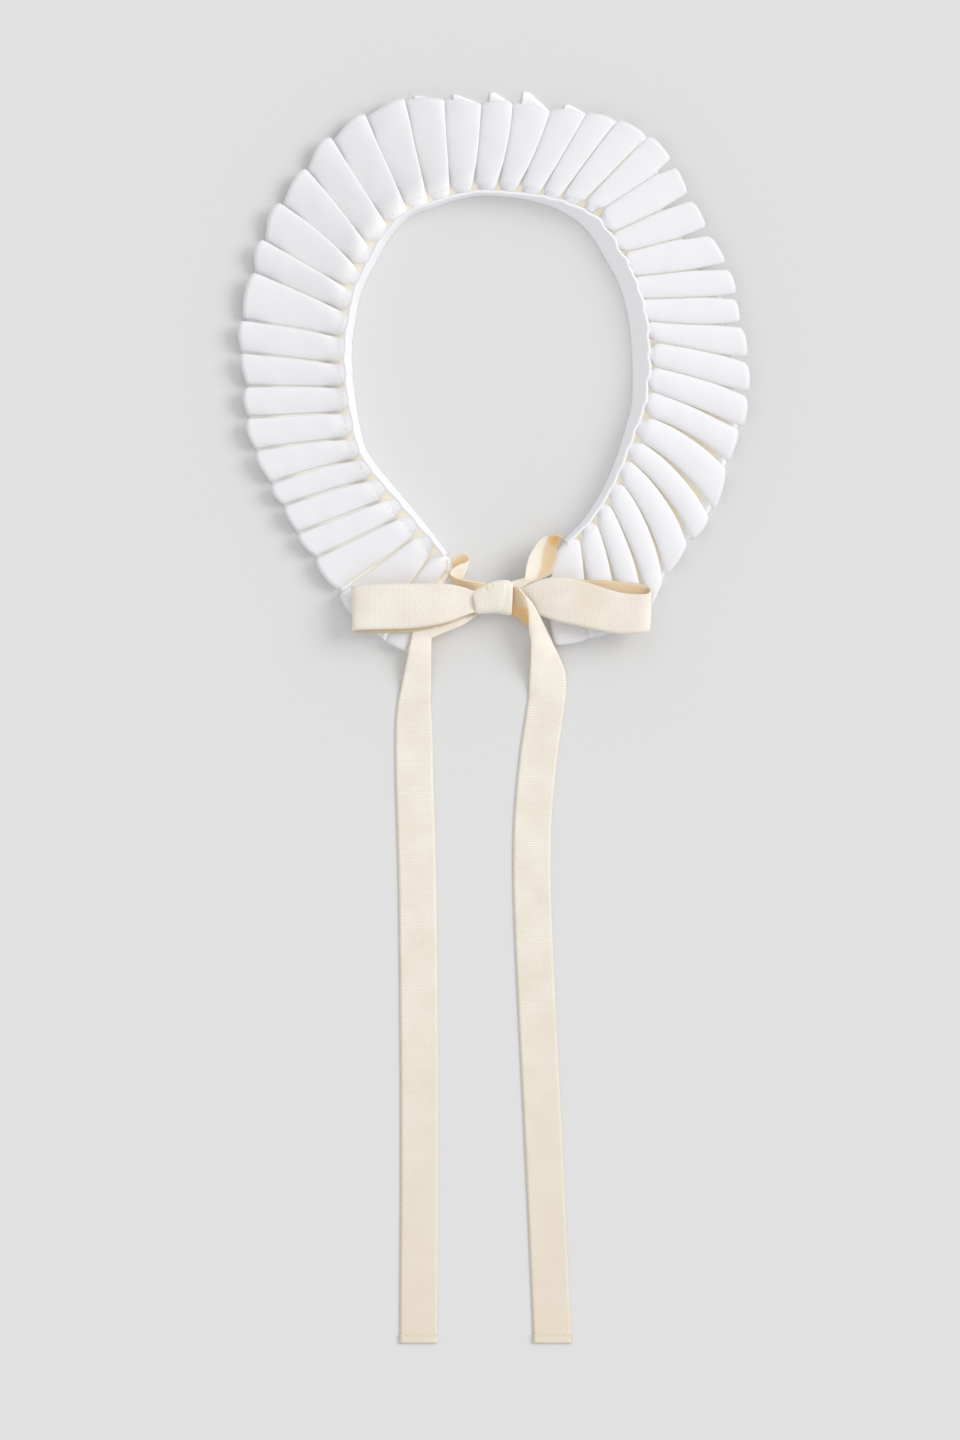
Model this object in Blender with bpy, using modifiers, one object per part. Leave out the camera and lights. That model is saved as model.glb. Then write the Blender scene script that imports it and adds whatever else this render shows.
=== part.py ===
"""A detachable ruff collar lying flat: a pleated cotton ruffle sewn to a standing neckband and
closed by cotton tape ties in a bow. Seen from above, +X is right, +Y is up and the collar rests
on z = 0. Tables are in millimetres."""

import math

import bmesh
import bpy
import numpy as np

MM = 0.001
# Moves the tables' drawing so that the whole collar's box is centred on the axes.
CENTRE_X = -0.21
CENTRE_Y = -0.13

CLOTH_THICKNESS = 1.2
TAPE_THICKNESS = 1.0
BAND_THICKNESS = 1.6
BAND_WIDTH = 13.0
SEAM_GAP = 0.6
SEAT_GAP = 1.0

SEAM_RISE = 9.5
SEAM_END_RISE = 0.55
ROUND_END_SHARE = 0.12
SEAM_SLIT = 3.0
LEAST_SLIT = 1.8
LEAN_SLIT = 0.6
PROFILE_POWER = 2.0
VALLEY_UNROLL = 1.05
SEAM_ROLL = 0.3
SEAM_LEAN = 0.5
COVER_AT_ROLL = 0.887
ROLL_AT_COVER = 0.379
COVER_PER_ROLL = 1.9
MOST_ROLL = 0.379
BULGE_POWER = 0.5
HEM_EASE = 3
LEAN_SAMPLES = 41
CENTRE_BACK_PLEAT = 21

HALF_PLEAT_PHASES = (0.0, 0.12, 0.19, 0.26, 0.32, 0.365, 0.40, 0.44)
LEFT_ROWS = (0.0, 0.12, 0.55, 1.0)
RIGHT_ROWS = (0.0, 0.12, 0.4, 0.7, 1.0)

# One row for each line between two flutes, clockwise from the left end of the collar:
# its end at the neck seam, its end at the hem, how far its middle bends clockwise, the open gap
# at the hem and the share of the length where it starts, how far the valley's hem falls short,
# the clockwise lean in pleat widths, the height at the hem, and the bulge of the next flute's hem.
LINE_COLUMNS = (
    "seam_x", "seam_y", "hem_x", "hem_y", "bend", "gap", "open_from", "notch", "lean", "rise", "bulge",
)
LINES = (
    (-23.0, 84.0, -44.5, 34.0, 0.0, 0.5, 0.0, 0.0, 0.0, 6.0, 0.5),
    (-29.5, 86.5, -56.0, 39.5, 2.5, 0.5, 0.0, 0.0, 0.05, 6.0, 3.5),
    (-38.0, 95.0, -79.5, 64.5, 0.0, 1.0, 0.0, 1.5, 0.1, 6.0, 2.5),
    (-46.0, 104.5, -92.0, 82.5, 0.0, 0.5, 0.0, 0.5, 0.2, 7.0, 1.5),
    (-55.0, 113.0, -101.5, 95.0, 0.0, 0.5, 0.0, 0.5, 0.3, 7.5, 1.0),
    (-61.5, 123.5, -109.0, 109.0, 1.0, 0.5, 0.0, 0.5, 0.3, 7.5, 1.5),
    (-68.0, 134.0, -115.5, 120.5, 1.3, 0.5, 0.0, 1.0, 0.3, 7.5, 1.5),
    (-73.0, 144.5, -123.5, 138.0, 0.6, 0.5, 0.0, 0.5, 0.3, 7.5, 2.0),
    (-75.0, 158.0, -128.0, 155.0, 0.0, 0.5, 0.0, 1.5, 0.3, 7.5, 2.0),
    (-75.5, 171.0, -128.5, 171.5, 0.0, 0.5, 0.0, 1.5, 0.35, 7.5, 1.0),
    (-77.5, 183.0, -131.5, 189.0, 0.0, 0.5, 0.0, 0.5, 0.35, 7.5, 1.5),
    (-77.0, 196.5, -131.5, 206.0, 0.8, 0.5, 0.0, 5.0, 0.4, 8.0, 2.5),
    (-76.0, 209.5, -124.5, 231.0, 0.5, 0.5, 0.0, 1.0, 0.45, 8.0, 3.5),
    (-75.5, 222.5, -119.5, 248.0, 0.0, 0.5, 0.0, 1.5, 0.45, 8.0, 3.5),
    (-70.5, 232.5, -110.5, 267.0, 2.0, 0.5, 0.0, 2.5, 0.5, 8.0, 2.5),
    (-65.5, 245.0, -97.5, 285.0, 0.8, 0.5, 0.0, 1.5, 0.5, 8.0, 4.0),
    (-55.5, 255.5, -84.0, 300.5, 0.0, 0.5, 0.0, 2.0, 0.5, 8.0, 3.0),
    (-45.0, 263.5, -66.5, 313.0, 0.0, 0.5, 0.0, 1.0, 0.5, 8.0, 1.5),
    (-34.5, 268.5, -46.5, 321.5, 0.0, 0.5, 0.0, 0.5, 0.45, 8.0, 1.0),
    (-23.0, 272.0, -26.5, 321.0, 0.0, 0.5, 0.0, -3.0, 0.4, 8.0, 0.5),
    (-11.5, 275.5, -7.0, 319.0, 0.5, 0.5, 0.0, -6.0, 0.35, 8.0, 0.5),
    (0.5, 275.0, 9.0, 319.0, 1.3, 0.5, 0.0, -6.0, 0.3, 8.0, 0.5),
    (11.5, 275.0, 28.5, 315.0, 1.0, 0.5, 0.0, -4.0, 0.3, 8.0, 1.0),
    (23.5, 272.5, 47.0, 313.5, 0.0, 0.5, 0.0, -1.5, 0.2, 8.0, 1.0),
    (33.0, 269.0, 63.0, 310.0, -0.5, 0.5, 0.0, 0.0, 0.15, 8.0, 1.0),
    (45.5, 267.5, 79.0, 302.5, 0.0, 0.5, 0.0, 0.0, 0.1, 8.0, 1.5),
    (55.0, 263.5, 93.0, 288.5, 0.0, 6.0, 0.7, 9.0, 0.0, 7.5, 1.0),
    (59.5, 251.0, 101.5, 270.5, 0.0, 4.5, 0.6, 15.0, 0.0, 7.5, 2.0),
    (66.5, 241.5, 110.5, 252.5, 0.0, 5.0, 0.6, 13.0, 0.0, 7.5, 2.0),
    (70.5, 229.0, 120.5, 234.5, 0.0, 4.0, 0.6, 14.0, 0.0, 7.5, 2.0),
    (74.0, 217.5, 125.5, 219.0, 0.0, 3.0, 0.7, 7.0, 0.0, 7.5, 1.0),
    (77.5, 206.5, 128.0, 204.5, 1.0, 3.0, 0.7, 8.0, 0.0, 7.5, 2.5),
    (82.0, 195.5, 130.5, 186.0, -0.5, 3.0, 0.7, 5.0, 0.0, 7.5, 3.0),
    (81.0, 183.0, 130.5, 168.5, -0.8, 3.0, 0.7, 4.5, 0.0, 7.5, 3.0),
    (79.5, 170.5, 127.5, 150.5, -1.0, 2.5, 0.2, 1.0, 0.0, 7.5, 1.5),
    (79.0, 157.0, 121.0, 131.5, -2.9, 3.0, 0.0, 0.5, 0.0, 7.5, 2.5),
    (74.0, 145.0, 113.0, 106.5, -3.9, 4.0, 0.0, 1.0, 0.0, 7.5, 2.5),
    (69.0, 135.5, 101.5, 92.0, -3.6, 2.5, 0.0, 1.0, 0.0, 7.0, 2.0),
    (65.5, 124.0, 88.5, 73.0, -3.7, 2.0, 0.0, 0.5, 0.0, 7.0, 1.0),
    (59.5, 113.0, 80.5, 55.0, -2.5, 2.5, 0.0, 0.0, 0.0, 6.5, 1.0),
    (53.0, 103.5, 66.0, 46.0, -2.3, 2.0, 0.0, 0.0, 0.0, 6.0, 1.0),
    (45.0, 94.5, 51.0, 41.5, -0.5, 1.5, 0.0, 0.0, 0.0, 6.0, 1.0),
    (36.0, 91.5, 31.5, 37.7, 0.0, 0.5, 0.0, 0.0, 0.0, 6.0, 0.0),
)

# The neckband's inner foot, clockwise from the left end, and how far its top leans outward.
BAND_COLUMNS = ("x", "y", "lean")
BAND_SECTIONS = (
    (-22.5, 84.0, 1.5),
    (-27.0, 90.0, 1.5),
    (-36.0, 101.5, 2.0),
    (-48.5, 116.5, 2.0),
    (-60.5, 131.0, 2.0),
    (-67.0, 142.0, 2.0),
    (-71.0, 160.5, 2.0),
    (-73.0, 177.0, 2.0),
    (-73.5, 191.0, 2.0),
    (-72.5, 201.5, 2.0),
    (-69.0, 220.0, 2.5),
    (-62.0, 235.0, 2.5),
    (-53.5, 250.0, 2.5),
    (-43.0, 260.5, 2.0),
    (-31.0, 265.0, 2.0),
    (-19.5, 269.0, 1.5),
    (-4.5, 271.3, 1.5),
    (18.0, 269.0, 1.5),
    (35.5, 263.0, 2.5),
    (48.5, 253.0, 5.0),
    (58.0, 238.0, 7.0),
    (65.5, 223.5, 8.0),
    (70.0, 206.0, 8.5),
    (71.5, 189.5, 8.5),
    (72.0, 174.0, 7.5),
    (71.3, 162.0, 6.0),
    (68.0, 149.0, 4.5),
    (63.0, 133.5, 3.5),
    (56.0, 117.5, 3.0),
    (47.0, 103.5, 2.5),
    (40.0, 96.0, 2.0),
    (36.5, 92.3, 2.0),
)
BAND_STEPS = 3

# Tape stretches: each row gives the two edges of the tape where it passes.
TAPE_COLUMNS = ("a_x", "a_y", "a_z", "b_x", "b_y", "b_z")
LEFT_LOOP = (
    (-11.0, 64.0, 8.8, -11.0, 56.0, 8.8),
    (-18.0, 66.5, 9.5, -18.0, 51.5, 9.5),
    (-28.0, 67.0, 9.6, -28.0, 47.5, 9.6),
    (-42.0, 67.5, 9.5, -42.0, 44.5, 9.5),
    (-57.0, 67.5, 9.5, -57.0, 43.8, 9.5),
    (-70.0, 67.3, 9.5, -69.5, 43.9, 9.5),
    (-73.6, 67.6, 12.2, -73.0, 44.4, 12.2),
    (-70.0, 68.6, 15.0, -69.5, 45.4, 15.0),
    (-59.0, 69.2, 15.3, -59.0, 45.8, 15.3),
    (-44.0, 69.3, 15.3, -44.0, 46.2, 15.3),
    (-32.0, 69.6, 15.0, -32.0, 47.8, 15.0),
    (-23.0, 69.2, 14.2, -23.0, 50.0, 14.2),
    (-16.0, 67.8, 13.0, -16.0, 52.7, 13.0),
    (-11.0, 65.5, 11.4, -11.0, 55.5, 11.4),
)
RIGHT_LOOP = (
    (11.9, 64.0, 8.8, 11.9, 57.0, 8.8),
    (27.0, 70.5, 9.5, 27.0, 53.0, 9.5),
    (44.0, 71.6, 9.5, 44.0, 51.5, 9.5),
    (61.0, 71.0, 9.5, 61.0, 50.0, 9.5),
    (77.5, 68.5, 9.5, 77.0, 47.0, 9.5),
    (81.4, 66.0, 12.2, 80.9, 45.0, 12.2),
    (77.5, 64.2, 15.0, 77.0, 44.2, 15.0),
    (66.0, 65.5, 15.4, 66.0, 43.6, 15.4),
    (54.0, 68.6, 15.4, 56.5, 45.0, 15.4),
    (43.5, 71.8, 15.2, 43.0, 48.0, 15.2),
    (32.0, 73.0, 14.4, 31.5, 50.7, 14.4),
    (22.0, 71.0, 13.2, 22.5, 54.0, 13.2),
    (12.0, 66.5, 11.4, 12.0, 57.0, 11.4),
)
LEFT_TAIL = (
    (-11.0, 63.0, 6.8, -11.0, 55.5, 6.0),
    (-18.0, 64.0, 7.8, -17.0, 49.5, 7.6),
    (-27.0, 62.0, 8.0, -24.5, 44.6, 7.9),
    (-37.0, 56.0, 8.0, -31.0, 41.9, 7.9),
    (-41.8, 46.0, 7.9, -32.3, 38.5, 7.2),
    (-44.6, 35.0, 7.4, -32.4, 30.0, 5.2),
    (-46.2, 27.0, 5.0, -32.4, 23.0, 2.8),
    (-47.6, 18.5, 2.2, -32.4, 16.0, 1.1),
    (-50.0, 8.0, 0.5, -32.6, 8.0, 0.5),
    (-51.0, -6.0, 0.5, -31.8, -6.0, 0.5),
    (-50.8, -35.0, 0.5, -31.2, -35.0, 0.5),
    (-49.2, -95.0, 0.5, -29.6, -95.0, 0.5),
    (-48.2, -210.0, 0.5, -28.6, -210.0, 0.5),
    (-48.8, -325.3, 0.5, -29.4, -325.3, 0.5),
)
RIGHT_TAIL = (
    (12.2, 53.0, 12.4, 12.2, 67.0, 13.8),
    (14.5, 50.4, 12.7, 13.6, 67.0, 14.3),
    (18.2, 46.6, 12.5, 14.8, 66.0, 15.1),
    (18.9, 43.6, 12.1, 17.0, 63.2, 15.3),
    (19.6, 39.8, 11.8, 19.8, 60.3, 15.35),
    (19.4, 35.6, 10.6, 22.1, 56.4, 15.3),
    (19.3, 31.5, 8.4, 25.2, 50.4, 14.4),
    (19.1, 27.3, 6.0, 28.6, 43.4, 10.6),
    (18.8, 22.6, 3.6, 32.2, 35.9, 6.6),
    (18.4, 17.4, 1.8, 35.6, 28.6, 3.0),
    (18.0, 11.7, 0.7, 37.7, 21.6, 1.0),
    (17.4, 6.0, 0.5, 37.2, 8.0, 0.5),
    (13.4, -22.0, 0.5, 33.1, -22.0, 0.5),
    (10.4, -60.0, 0.5, 30.0, -60.0, 0.5),
    (11.0, -110.0, 0.5, 30.6, -110.0, 0.5),
    (16.2, -220.0, 0.5, 35.8, -220.0, 0.5),
    (20.7, -325.3, 0.5, 40.5, -325.3, 0.5),
)
LEFT_LEAD = (
    (-23.6, 82.0, 11.4, -22.8, 82.7, 2.0),
    (-18.6, 85.0, 12.0, -18.6, 82.4, 3.4),
    (-14.0, 84.9, 12.4, -16.0, 79.8, 4.8),
    (-11.9, 81.4, 12.4, -16.6, 75.6, 5.6),
    (-11.6, 76.8, 12.0, -16.4, 71.6, 6.2),
    (-10.4, 73.0, 11.0, -13.4, 68.6, 6.8),
    (-6.0, 69.7, 9.2, -9.4, 68.4, 6.6),
)
RIGHT_LEAD = (
    (37.6, 89.9, 11.4, 36.6, 90.9, 2.0),
    (33.6, 93.9, 12.4, 34.4, 89.8, 3.2),
    (29.4, 94.8, 12.9, 32.6, 86.9, 4.2),
    (25.2, 92.6, 13.0, 31.0, 83.4, 5.0),
    (21.6, 87.2, 13.0, 29.4, 79.8, 5.6),
    (18.8, 80.4, 12.6, 26.2, 75.2, 6.3),
    (16.2, 74.4, 12.0, 20.0, 70.6, 7.0),
    (13.2, 71.6, 11.4, 15.4, 67.9, 7.5),
    (10.0, 69.9, 11.2, 12.0, 66.6, 7.9),
)
TAPE_STEPS = 2

# Sections of the knot across the bow: where, its lower and upper edge, its underside and top.
KNOT_COLUMNS = ("x", "low_y", "high_y", "bottom", "top")
KNOT_SECTIONS = (
    (-10.4, 55.0, 66.0, 4.6, 12.6),
    (-8.6, 53.6, 68.2, 2.8, 13.8),
    (0.0, 53.0, 71.2, 2.0, 14.6),
    (9.4, 53.0, 70.0, 2.8, 13.8),
    (11.4, 54.4, 66.6, 4.6, 12.6),
)
KNOT_SIDES = 20
KNOT_SQUARENESS = 0.6

COTTON_WHITE = (0.93, 0.93, 0.95, 1.0)
BAND_WHITE = (0.88, 0.88, 0.9, 1.0)
TAPE_CREAM = (0.86, 0.78, 0.62, 1.0)
TAPE_STRETCHES = (
    ("left_bow_loop", LEFT_LOOP),
    ("right_bow_loop", RIGHT_LOOP),
    ("left_tail", LEFT_TAIL),
    ("right_tail", RIGHT_TAIL),
    ("left_lead", LEFT_LEAD),
    ("right_lead", RIGHT_LEAD),
)


def clear_scene():
    for old in list(bpy.data.objects):
        bpy.data.objects.remove(old, do_unlink=True)


def cloth_material(name, colour):
    material = bpy.data.materials.new(name)
    material.use_nodes = True
    shader = material.node_tree.nodes["Principled BSDF"]
    shader.inputs["Base Color"].default_value = colour
    shader.inputs["Roughness"].default_value = 0.85
    shader.inputs["Metallic"].default_value = 0.0
    return material


def columns(rows, names):
    """The table's columns by name, as arrays."""
    table = np.array(rows)
    return {name: table[:, i] for i, name in enumerate(names)}


def smooth_rows(rows, steps):
    """Catmull-Rom points through the rows of a table, with the given steps between two rows."""
    table = np.array(rows, dtype=float)
    ends = np.vstack([2 * table[0] - table[1], table, 2 * table[-1] - table[-2]])
    points = []
    for i in range(1, len(ends) - 2):
        before, start, stop, after = ends[i - 1 : i + 3]
        for step in range(steps):
            u = step / steps
            points.append(
                0.5
                * (
                    2 * start
                    + (stop - before) * u
                    + (2 * before - 5 * start + 4 * stop - after) * u**2
                    + (3 * start - before - 3 * stop + after) * u**3
                )
            )
    points.append(table[-1])
    return np.array(points)


class Neckband:
    """The folded band that stands round the neck opening and leans outward at its top."""

    def __init__(self):
        sections = columns(smooth_rows(BAND_SECTIONS, BAND_STEPS), BAND_COLUMNS)
        self.foot = np.stack([sections["x"], sections["y"]], axis=1)
        self.lean = sections["lean"]
        self.height = np.sqrt(BAND_WIDTH**2 - self.lean**2)
        along = np.gradient(self.foot, axis=0)
        along /= np.linalg.norm(along, axis=1)[:, None]
        self.outward = np.stack([-along[:, 1], along[:, 0]], axis=1)
        self.half_wall = BAND_THICKNESS / 2 * BAND_WIDTH / self.height

    def line_at(self, z, beyond):
        """The band's middle at one height, moved outward by a distance in the plane."""
        shift = self.half_wall + self.lean * z / self.height + beyond
        return self.foot + self.outward * shift[:, None]

    def seat(self, x, y, z):
        """The place nearest to x, y where cloth at this height meets the band's outer face."""
        line = self.line_at(z, self.half_wall + SEAT_GAP)
        starts, spans = line[:-1], np.diff(line, axis=0)
        here = np.array([x, y])
        share = np.sum((here - starts) * spans, axis=1) / np.sum(spans**2, axis=1)
        places = starts + spans * np.clip(share, 0.0, 1.0)[:, None]
        return places[np.argmin(np.linalg.norm(places - here, axis=1))]

    def surface(self):
        bottom = self.line_at(0.0, 0.0)
        top = bottom + self.outward * self.lean[:, None]
        low = np.column_stack([bottom, np.zeros(len(bottom))])
        high = np.column_stack([top, self.height])
        return np.stack([low, high], axis=1)


class Ruffle:
    """The pleated strip: a valley at each whole number of pleats and a flute between two valleys."""

    def __init__(self, band):
        self.band = band
        self.lines = columns(LINES, LINE_COLUMNS)
        self.numbers = np.arange(len(LINES))

    def value(self, name, pleat):
        return float(np.interp(pleat, self.numbers, self.lines[name]))

    def line_point(self, k, t):
        """A point on one line between two flutes, t from the seam to the hem."""
        seam = np.array([self.lines["seam_x"][k], self.lines["seam_y"][k]])
        hem = np.array([self.lines["hem_x"][k], self.lines["hem_y"][k]])
        span = hem - seam
        clockwise = np.array([span[1], -span[0]]) / np.linalg.norm(span)
        return seam + span * t + clockwise * self.lines["bend"][k] * 4 * t * (1 - t)

    def place(self, pleat, t):
        """The point seen from above at a pleat count and a share of the length."""
        k = int(np.clip(math.floor(pleat), 0, len(LINES) - 2))
        before, after = self.line_point(k, t), self.line_point(k + 1, t)
        return before + (after - before) * (pleat - k)

    def length(self, k):
        return float(np.linalg.norm(self.line_point(k, 1.0) - self.line_point(k, 0.0)))

    def slit(self, k, t):
        """The width left between the walls of two flutes at line k."""
        lean = self.lines["lean"][k]
        least = LEAST_SLIT + LEAN_SLIT * lean
        start = self.lines["open_from"][k]
        opened = max(0.0, (t - start) / (1.0 - start)) * self.lines["gap"][k]
        at_seam = SEAM_SLIT * max(0.0, 1.0 - t / ROUND_END_SHARE)
        return max(least, opened + CLOTH_THICKNESS) + at_seam

    def point(self, k, phase, t):
        """A point on the middle of the cloth: flute k, phase 0 to 1 from valley to valley."""
        near = k if phase < 0.5 else k + 1
        width = float(np.linalg.norm(self.place(k + 1.0, t) - self.place(k + 0.0, t)))
        slit = self.slit(near, t)
        cover = 1.0 - slit / width
        roll = min(MOST_ROLL, ROLL_AT_COVER + (cover - COVER_AT_ROLL) / COVER_PER_ROLL)
        rounding = math.sin(min(1.0, t / ROUND_END_SHARE) * math.pi / 2)
        roll *= SEAM_ROLL + (1 - SEAM_ROLL) * rounding
        lean = self.value("lean", k + phase) * (SEAM_LEAN + (1 - SEAM_LEAN) * rounding)
        upright, height = self.profile(phase, roll)
        across = upright + lean * height - self.lean_shift(roll, lean)
        end_rise = SEAM_END_RISE + (1 - SEAM_END_RISE) * rounding
        hem_rise = self.value("rise", k + phase)
        rise = (SEAM_RISE + (hem_rise - SEAM_RISE) * t) * end_rise
        z = CLOTH_THICKNESS / 2 + (rise - CLOTH_THICKNESS) * height
        valley = (1 - height) ** 2
        bulge = self.lines["bulge"][k] * abs(math.sin(math.pi * phase)) ** BULGE_POWER
        reach = bulge * (1 - valley) - self.value("notch", k + phase) * valley
        along = t + reach / self.length(k) * t**HEM_EASE
        x, y = self.place(k + across, along)
        if t == 0.0:
            x, y = self.band.seat(x, y, z)
        return x, y, z

    @staticmethod
    def profile(phase, roll):
        """One upright pleat: its place across and its height, both as shares."""
        valley = (1 + np.cos(2 * np.pi * phase)) / 2
        across = phase + roll * (1 - VALLEY_UNROLL * valley) * np.sin(4 * np.pi * phase)
        return across, (1 - valley) ** PROFILE_POWER

    def lean_shift(self, roll, lean):
        """How far the lean pushes a flute's clockwise side beyond its upright place."""
        upright, heights = self.profile(np.linspace(0.5, 1.0, LEAN_SAMPLES), roll)
        return float(np.max(upright + lean * heights) - np.max(upright))

    def surface(self, first, last, rows):
        """The cloth's middle from one valley to another, a list of rows of points."""
        phases = list(HALF_PLEAT_PHASES) + [0.5]
        phases += [1.0 - p for p in reversed(HALF_PLEAT_PHASES[1:])]
        grid = [[self.point(k, p, t) for t in rows] for k in range(first, last) for p in phases]
        grid.append([self.point(last - 1, 1.0, t) for t in rows])
        return np.array(grid)


def add_mesh(name, verts, faces, material, collection):
    mesh = bpy.data.meshes.new(name)
    shift = np.array([CENTRE_X, CENTRE_Y, 0.0])
    mesh.from_pydata([tuple((np.array(v) + shift) * MM) for v in verts], [], faces)
    mesh.materials.append(material)
    thing = bpy.data.objects.new(name, mesh)
    collection.objects.link(thing)
    return thing


def grid_faces(columns_across, rows_along):
    faces = []
    for i in range(columns_across - 1):
        for j in range(rows_along - 1):
            a = i * rows_along + j
            faces.append((a, a + 1, a + rows_along + 1, a + rows_along))
    return faces


def press_flat(thing):
    """Keep the solid and press anything below the resting surface flat on to it."""
    graph = bpy.context.evaluated_depsgraph_get()
    solid = bpy.data.meshes.new_from_object(thing.evaluated_get(graph))
    thing.modifiers.clear()
    thing.data = solid
    for vertex in solid.vertices:
        vertex.co.z = max(vertex.co.z, 0.0)


def add_shell(name, grid, thickness, material, collection):
    """An open surface through a grid of points, thickened on both sides."""
    across, along = grid.shape[:2]
    faces = grid_faces(across, along)
    thing = add_mesh(name, grid.reshape(-1, 3), faces, material, collection)
    thicken = thing.modifiers.new("cloth", "SOLIDIFY")
    thicken.thickness = thickness * MM
    thicken.offset = 0.0
    press_flat(thing)
    thing.data.shade_smooth()
    return thing


def tape_surface(rows):
    edges = columns(smooth_rows(rows, TAPE_STEPS), TAPE_COLUMNS)
    near = np.column_stack([edges["a_x"], edges["a_y"], edges["a_z"]])
    far = np.column_stack([edges["b_x"], edges["b_y"], edges["b_z"]])
    return np.stack([near, far], axis=1)


def rounded_section(section):
    """A rounded rectangle in the plane across the bow."""
    middle_y = (section["low_y"] + section["high_y"]) / 2
    middle_z = (section["bottom"] + section["top"]) / 2
    half_y = (section["high_y"] - section["low_y"]) / 2
    half_z = (section["top"] - section["bottom"]) / 2
    ring = []
    for i in range(KNOT_SIDES):
        angle = 2 * math.pi * i / KNOT_SIDES
        c, s = math.cos(angle), math.sin(angle)
        y = middle_y + half_y * math.copysign(abs(c) ** KNOT_SQUARENESS, c)
        z = middle_z + half_z * math.copysign(abs(s) ** KNOT_SQUARENESS, s)
        ring.append((section["x"], y, z))
    return ring


def add_knot(material, collection):
    rings = [rounded_section(dict(zip(KNOT_COLUMNS, row))) for row in KNOT_SECTIONS]
    verts = [point for ring in rings for point in ring]
    faces = []
    for r in range(len(rings) - 1):
        for i in range(KNOT_SIDES):
            j = (i + 1) % KNOT_SIDES
            a, b = r * KNOT_SIDES, (r + 1) * KNOT_SIDES
            faces.append((a + i, a + j, b + j, b + i))
    faces.append(tuple(reversed(range(KNOT_SIDES))))
    faces.append(tuple(range((len(rings) - 1) * KNOT_SIDES, len(rings) * KNOT_SIDES)))
    knot = add_mesh("knot", verts, faces, material, collection)
    work = bmesh.new()
    work.from_mesh(knot.data)
    bmesh.ops.recalc_face_normals(work, faces=work.faces)
    work.to_mesh(knot.data)
    work.free()
    return knot


def main():
    clear_scene()
    collection = bpy.data.collections.new("ruff_collar")
    bpy.context.scene.collection.children.link(collection)
    white = cloth_material("white cotton poplin", COTTON_WHITE)
    band_white = cloth_material("white neckband", BAND_WHITE)
    cream = cloth_material("cream cotton tape", TAPE_CREAM)

    band = Neckband()
    add_shell("neckband", band.surface(), BAND_THICKNESS, band_white, collection)
    ruffle = Ruffle(band)
    left = ruffle.surface(0, CENTRE_BACK_PLEAT, LEFT_ROWS)
    right = ruffle.surface(CENTRE_BACK_PLEAT, len(LINES) - 1, RIGHT_ROWS)
    left[-1, :, 0] -= SEAM_GAP / 2
    right[0, :, 0] += SEAM_GAP / 2
    add_shell("ruffle_left", left, CLOTH_THICKNESS, white, collection)
    add_shell("ruffle_right", right, CLOTH_THICKNESS, white, collection)

    for name, rows in TAPE_STRETCHES:
        add_shell(name, tape_surface(rows), TAPE_THICKNESS, cream, collection)
    add_knot(cream, collection)


main()
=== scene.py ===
"""The looks of a pleated ruff collar laid flat: crisp white poplin flutes, a folded neckband with
its seam, and cream woven tape tied in a bow. Tables and lengths are in millimetres."""

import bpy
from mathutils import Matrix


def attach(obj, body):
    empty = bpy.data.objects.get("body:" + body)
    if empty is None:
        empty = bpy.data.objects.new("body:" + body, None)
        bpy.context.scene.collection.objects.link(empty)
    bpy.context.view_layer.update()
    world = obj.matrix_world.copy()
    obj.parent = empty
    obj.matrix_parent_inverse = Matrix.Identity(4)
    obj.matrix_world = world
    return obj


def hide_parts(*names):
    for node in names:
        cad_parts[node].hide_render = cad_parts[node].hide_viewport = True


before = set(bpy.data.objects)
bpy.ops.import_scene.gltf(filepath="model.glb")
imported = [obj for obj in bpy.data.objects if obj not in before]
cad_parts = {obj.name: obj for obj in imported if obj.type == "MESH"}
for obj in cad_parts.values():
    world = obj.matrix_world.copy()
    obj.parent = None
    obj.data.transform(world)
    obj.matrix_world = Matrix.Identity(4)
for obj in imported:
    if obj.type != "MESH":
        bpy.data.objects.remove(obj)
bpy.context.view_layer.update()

import math

import bmesh
import bpy
import numpy as np
from mathutils import Vector, noise

MM = 0.001
CENTRE_X = -0.21
CENTRE_Y = -0.13

# The photograph's frame: the width of one of its pixels on the object and the place it looks at.
PIXEL = 0.52
FRAME_PIXELS_HIGH = 1440
VIEW_CENTRE = (-7.23, -1.43)
CAMERA_HEIGHT = 900.0

CLOTH_THICKNESS = 0.45
TAPE_THICKNESS = 0.6
BAND_THICKNESS = 1.5
BAND_WIDTH = 13.0

# A flute's form: its height and round end at the seam, the slits beside it, how its sides roll
# under and lean over, and how its hem is cut.
SEAM_RISE = 9.5
SEAM_END_RISE = 0.78
ROUND_END_SHARE = 0.1
SEAM_SLIT = 5.8
LEAST_SLIT = 0.75
LEAN_SLIT = 0.5
PROFILE_POWER = 2.0
VALLEY_UNROLL = 1.05
SEAM_ROLL = 0.6
SEAM_LEAN = 0.5
COVER_AT_ROLL = 0.887
ROLL_AT_COVER = 0.379
COVER_PER_ROLL = 1.9
MOST_ROLL = 0.415
LEAN_UNROLL = 0.26
LEAN_AT_FULL = 0.3
UNDER_FULL_AT = 0.3
HEM_EASE = 3
BULGE_SKEW = 1.25
ROUND_CORNER = 2.2
SQUARE_CORNER = 5.0
WALL_SETBACK = 0.4
LEAN_SAMPLES = 41
HEM_SLANT = 2.5
HEM_SLANT_FROM = 0.6
HEM_SLANT_MOST = 1.5
SHINGLE_TILT = 0.45
TILT_POWER = 1.5
SHUT_GAP = 1.5
VALLEY_LIFT = 0.55
VALLEY_LIFT_OPEN = 0.2
LIFT_STARTS = (0.1, 0.3)
LIFT_STOPS = (0.7, 0.97)
CENTRE_BACK_PLEAT = 21
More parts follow.
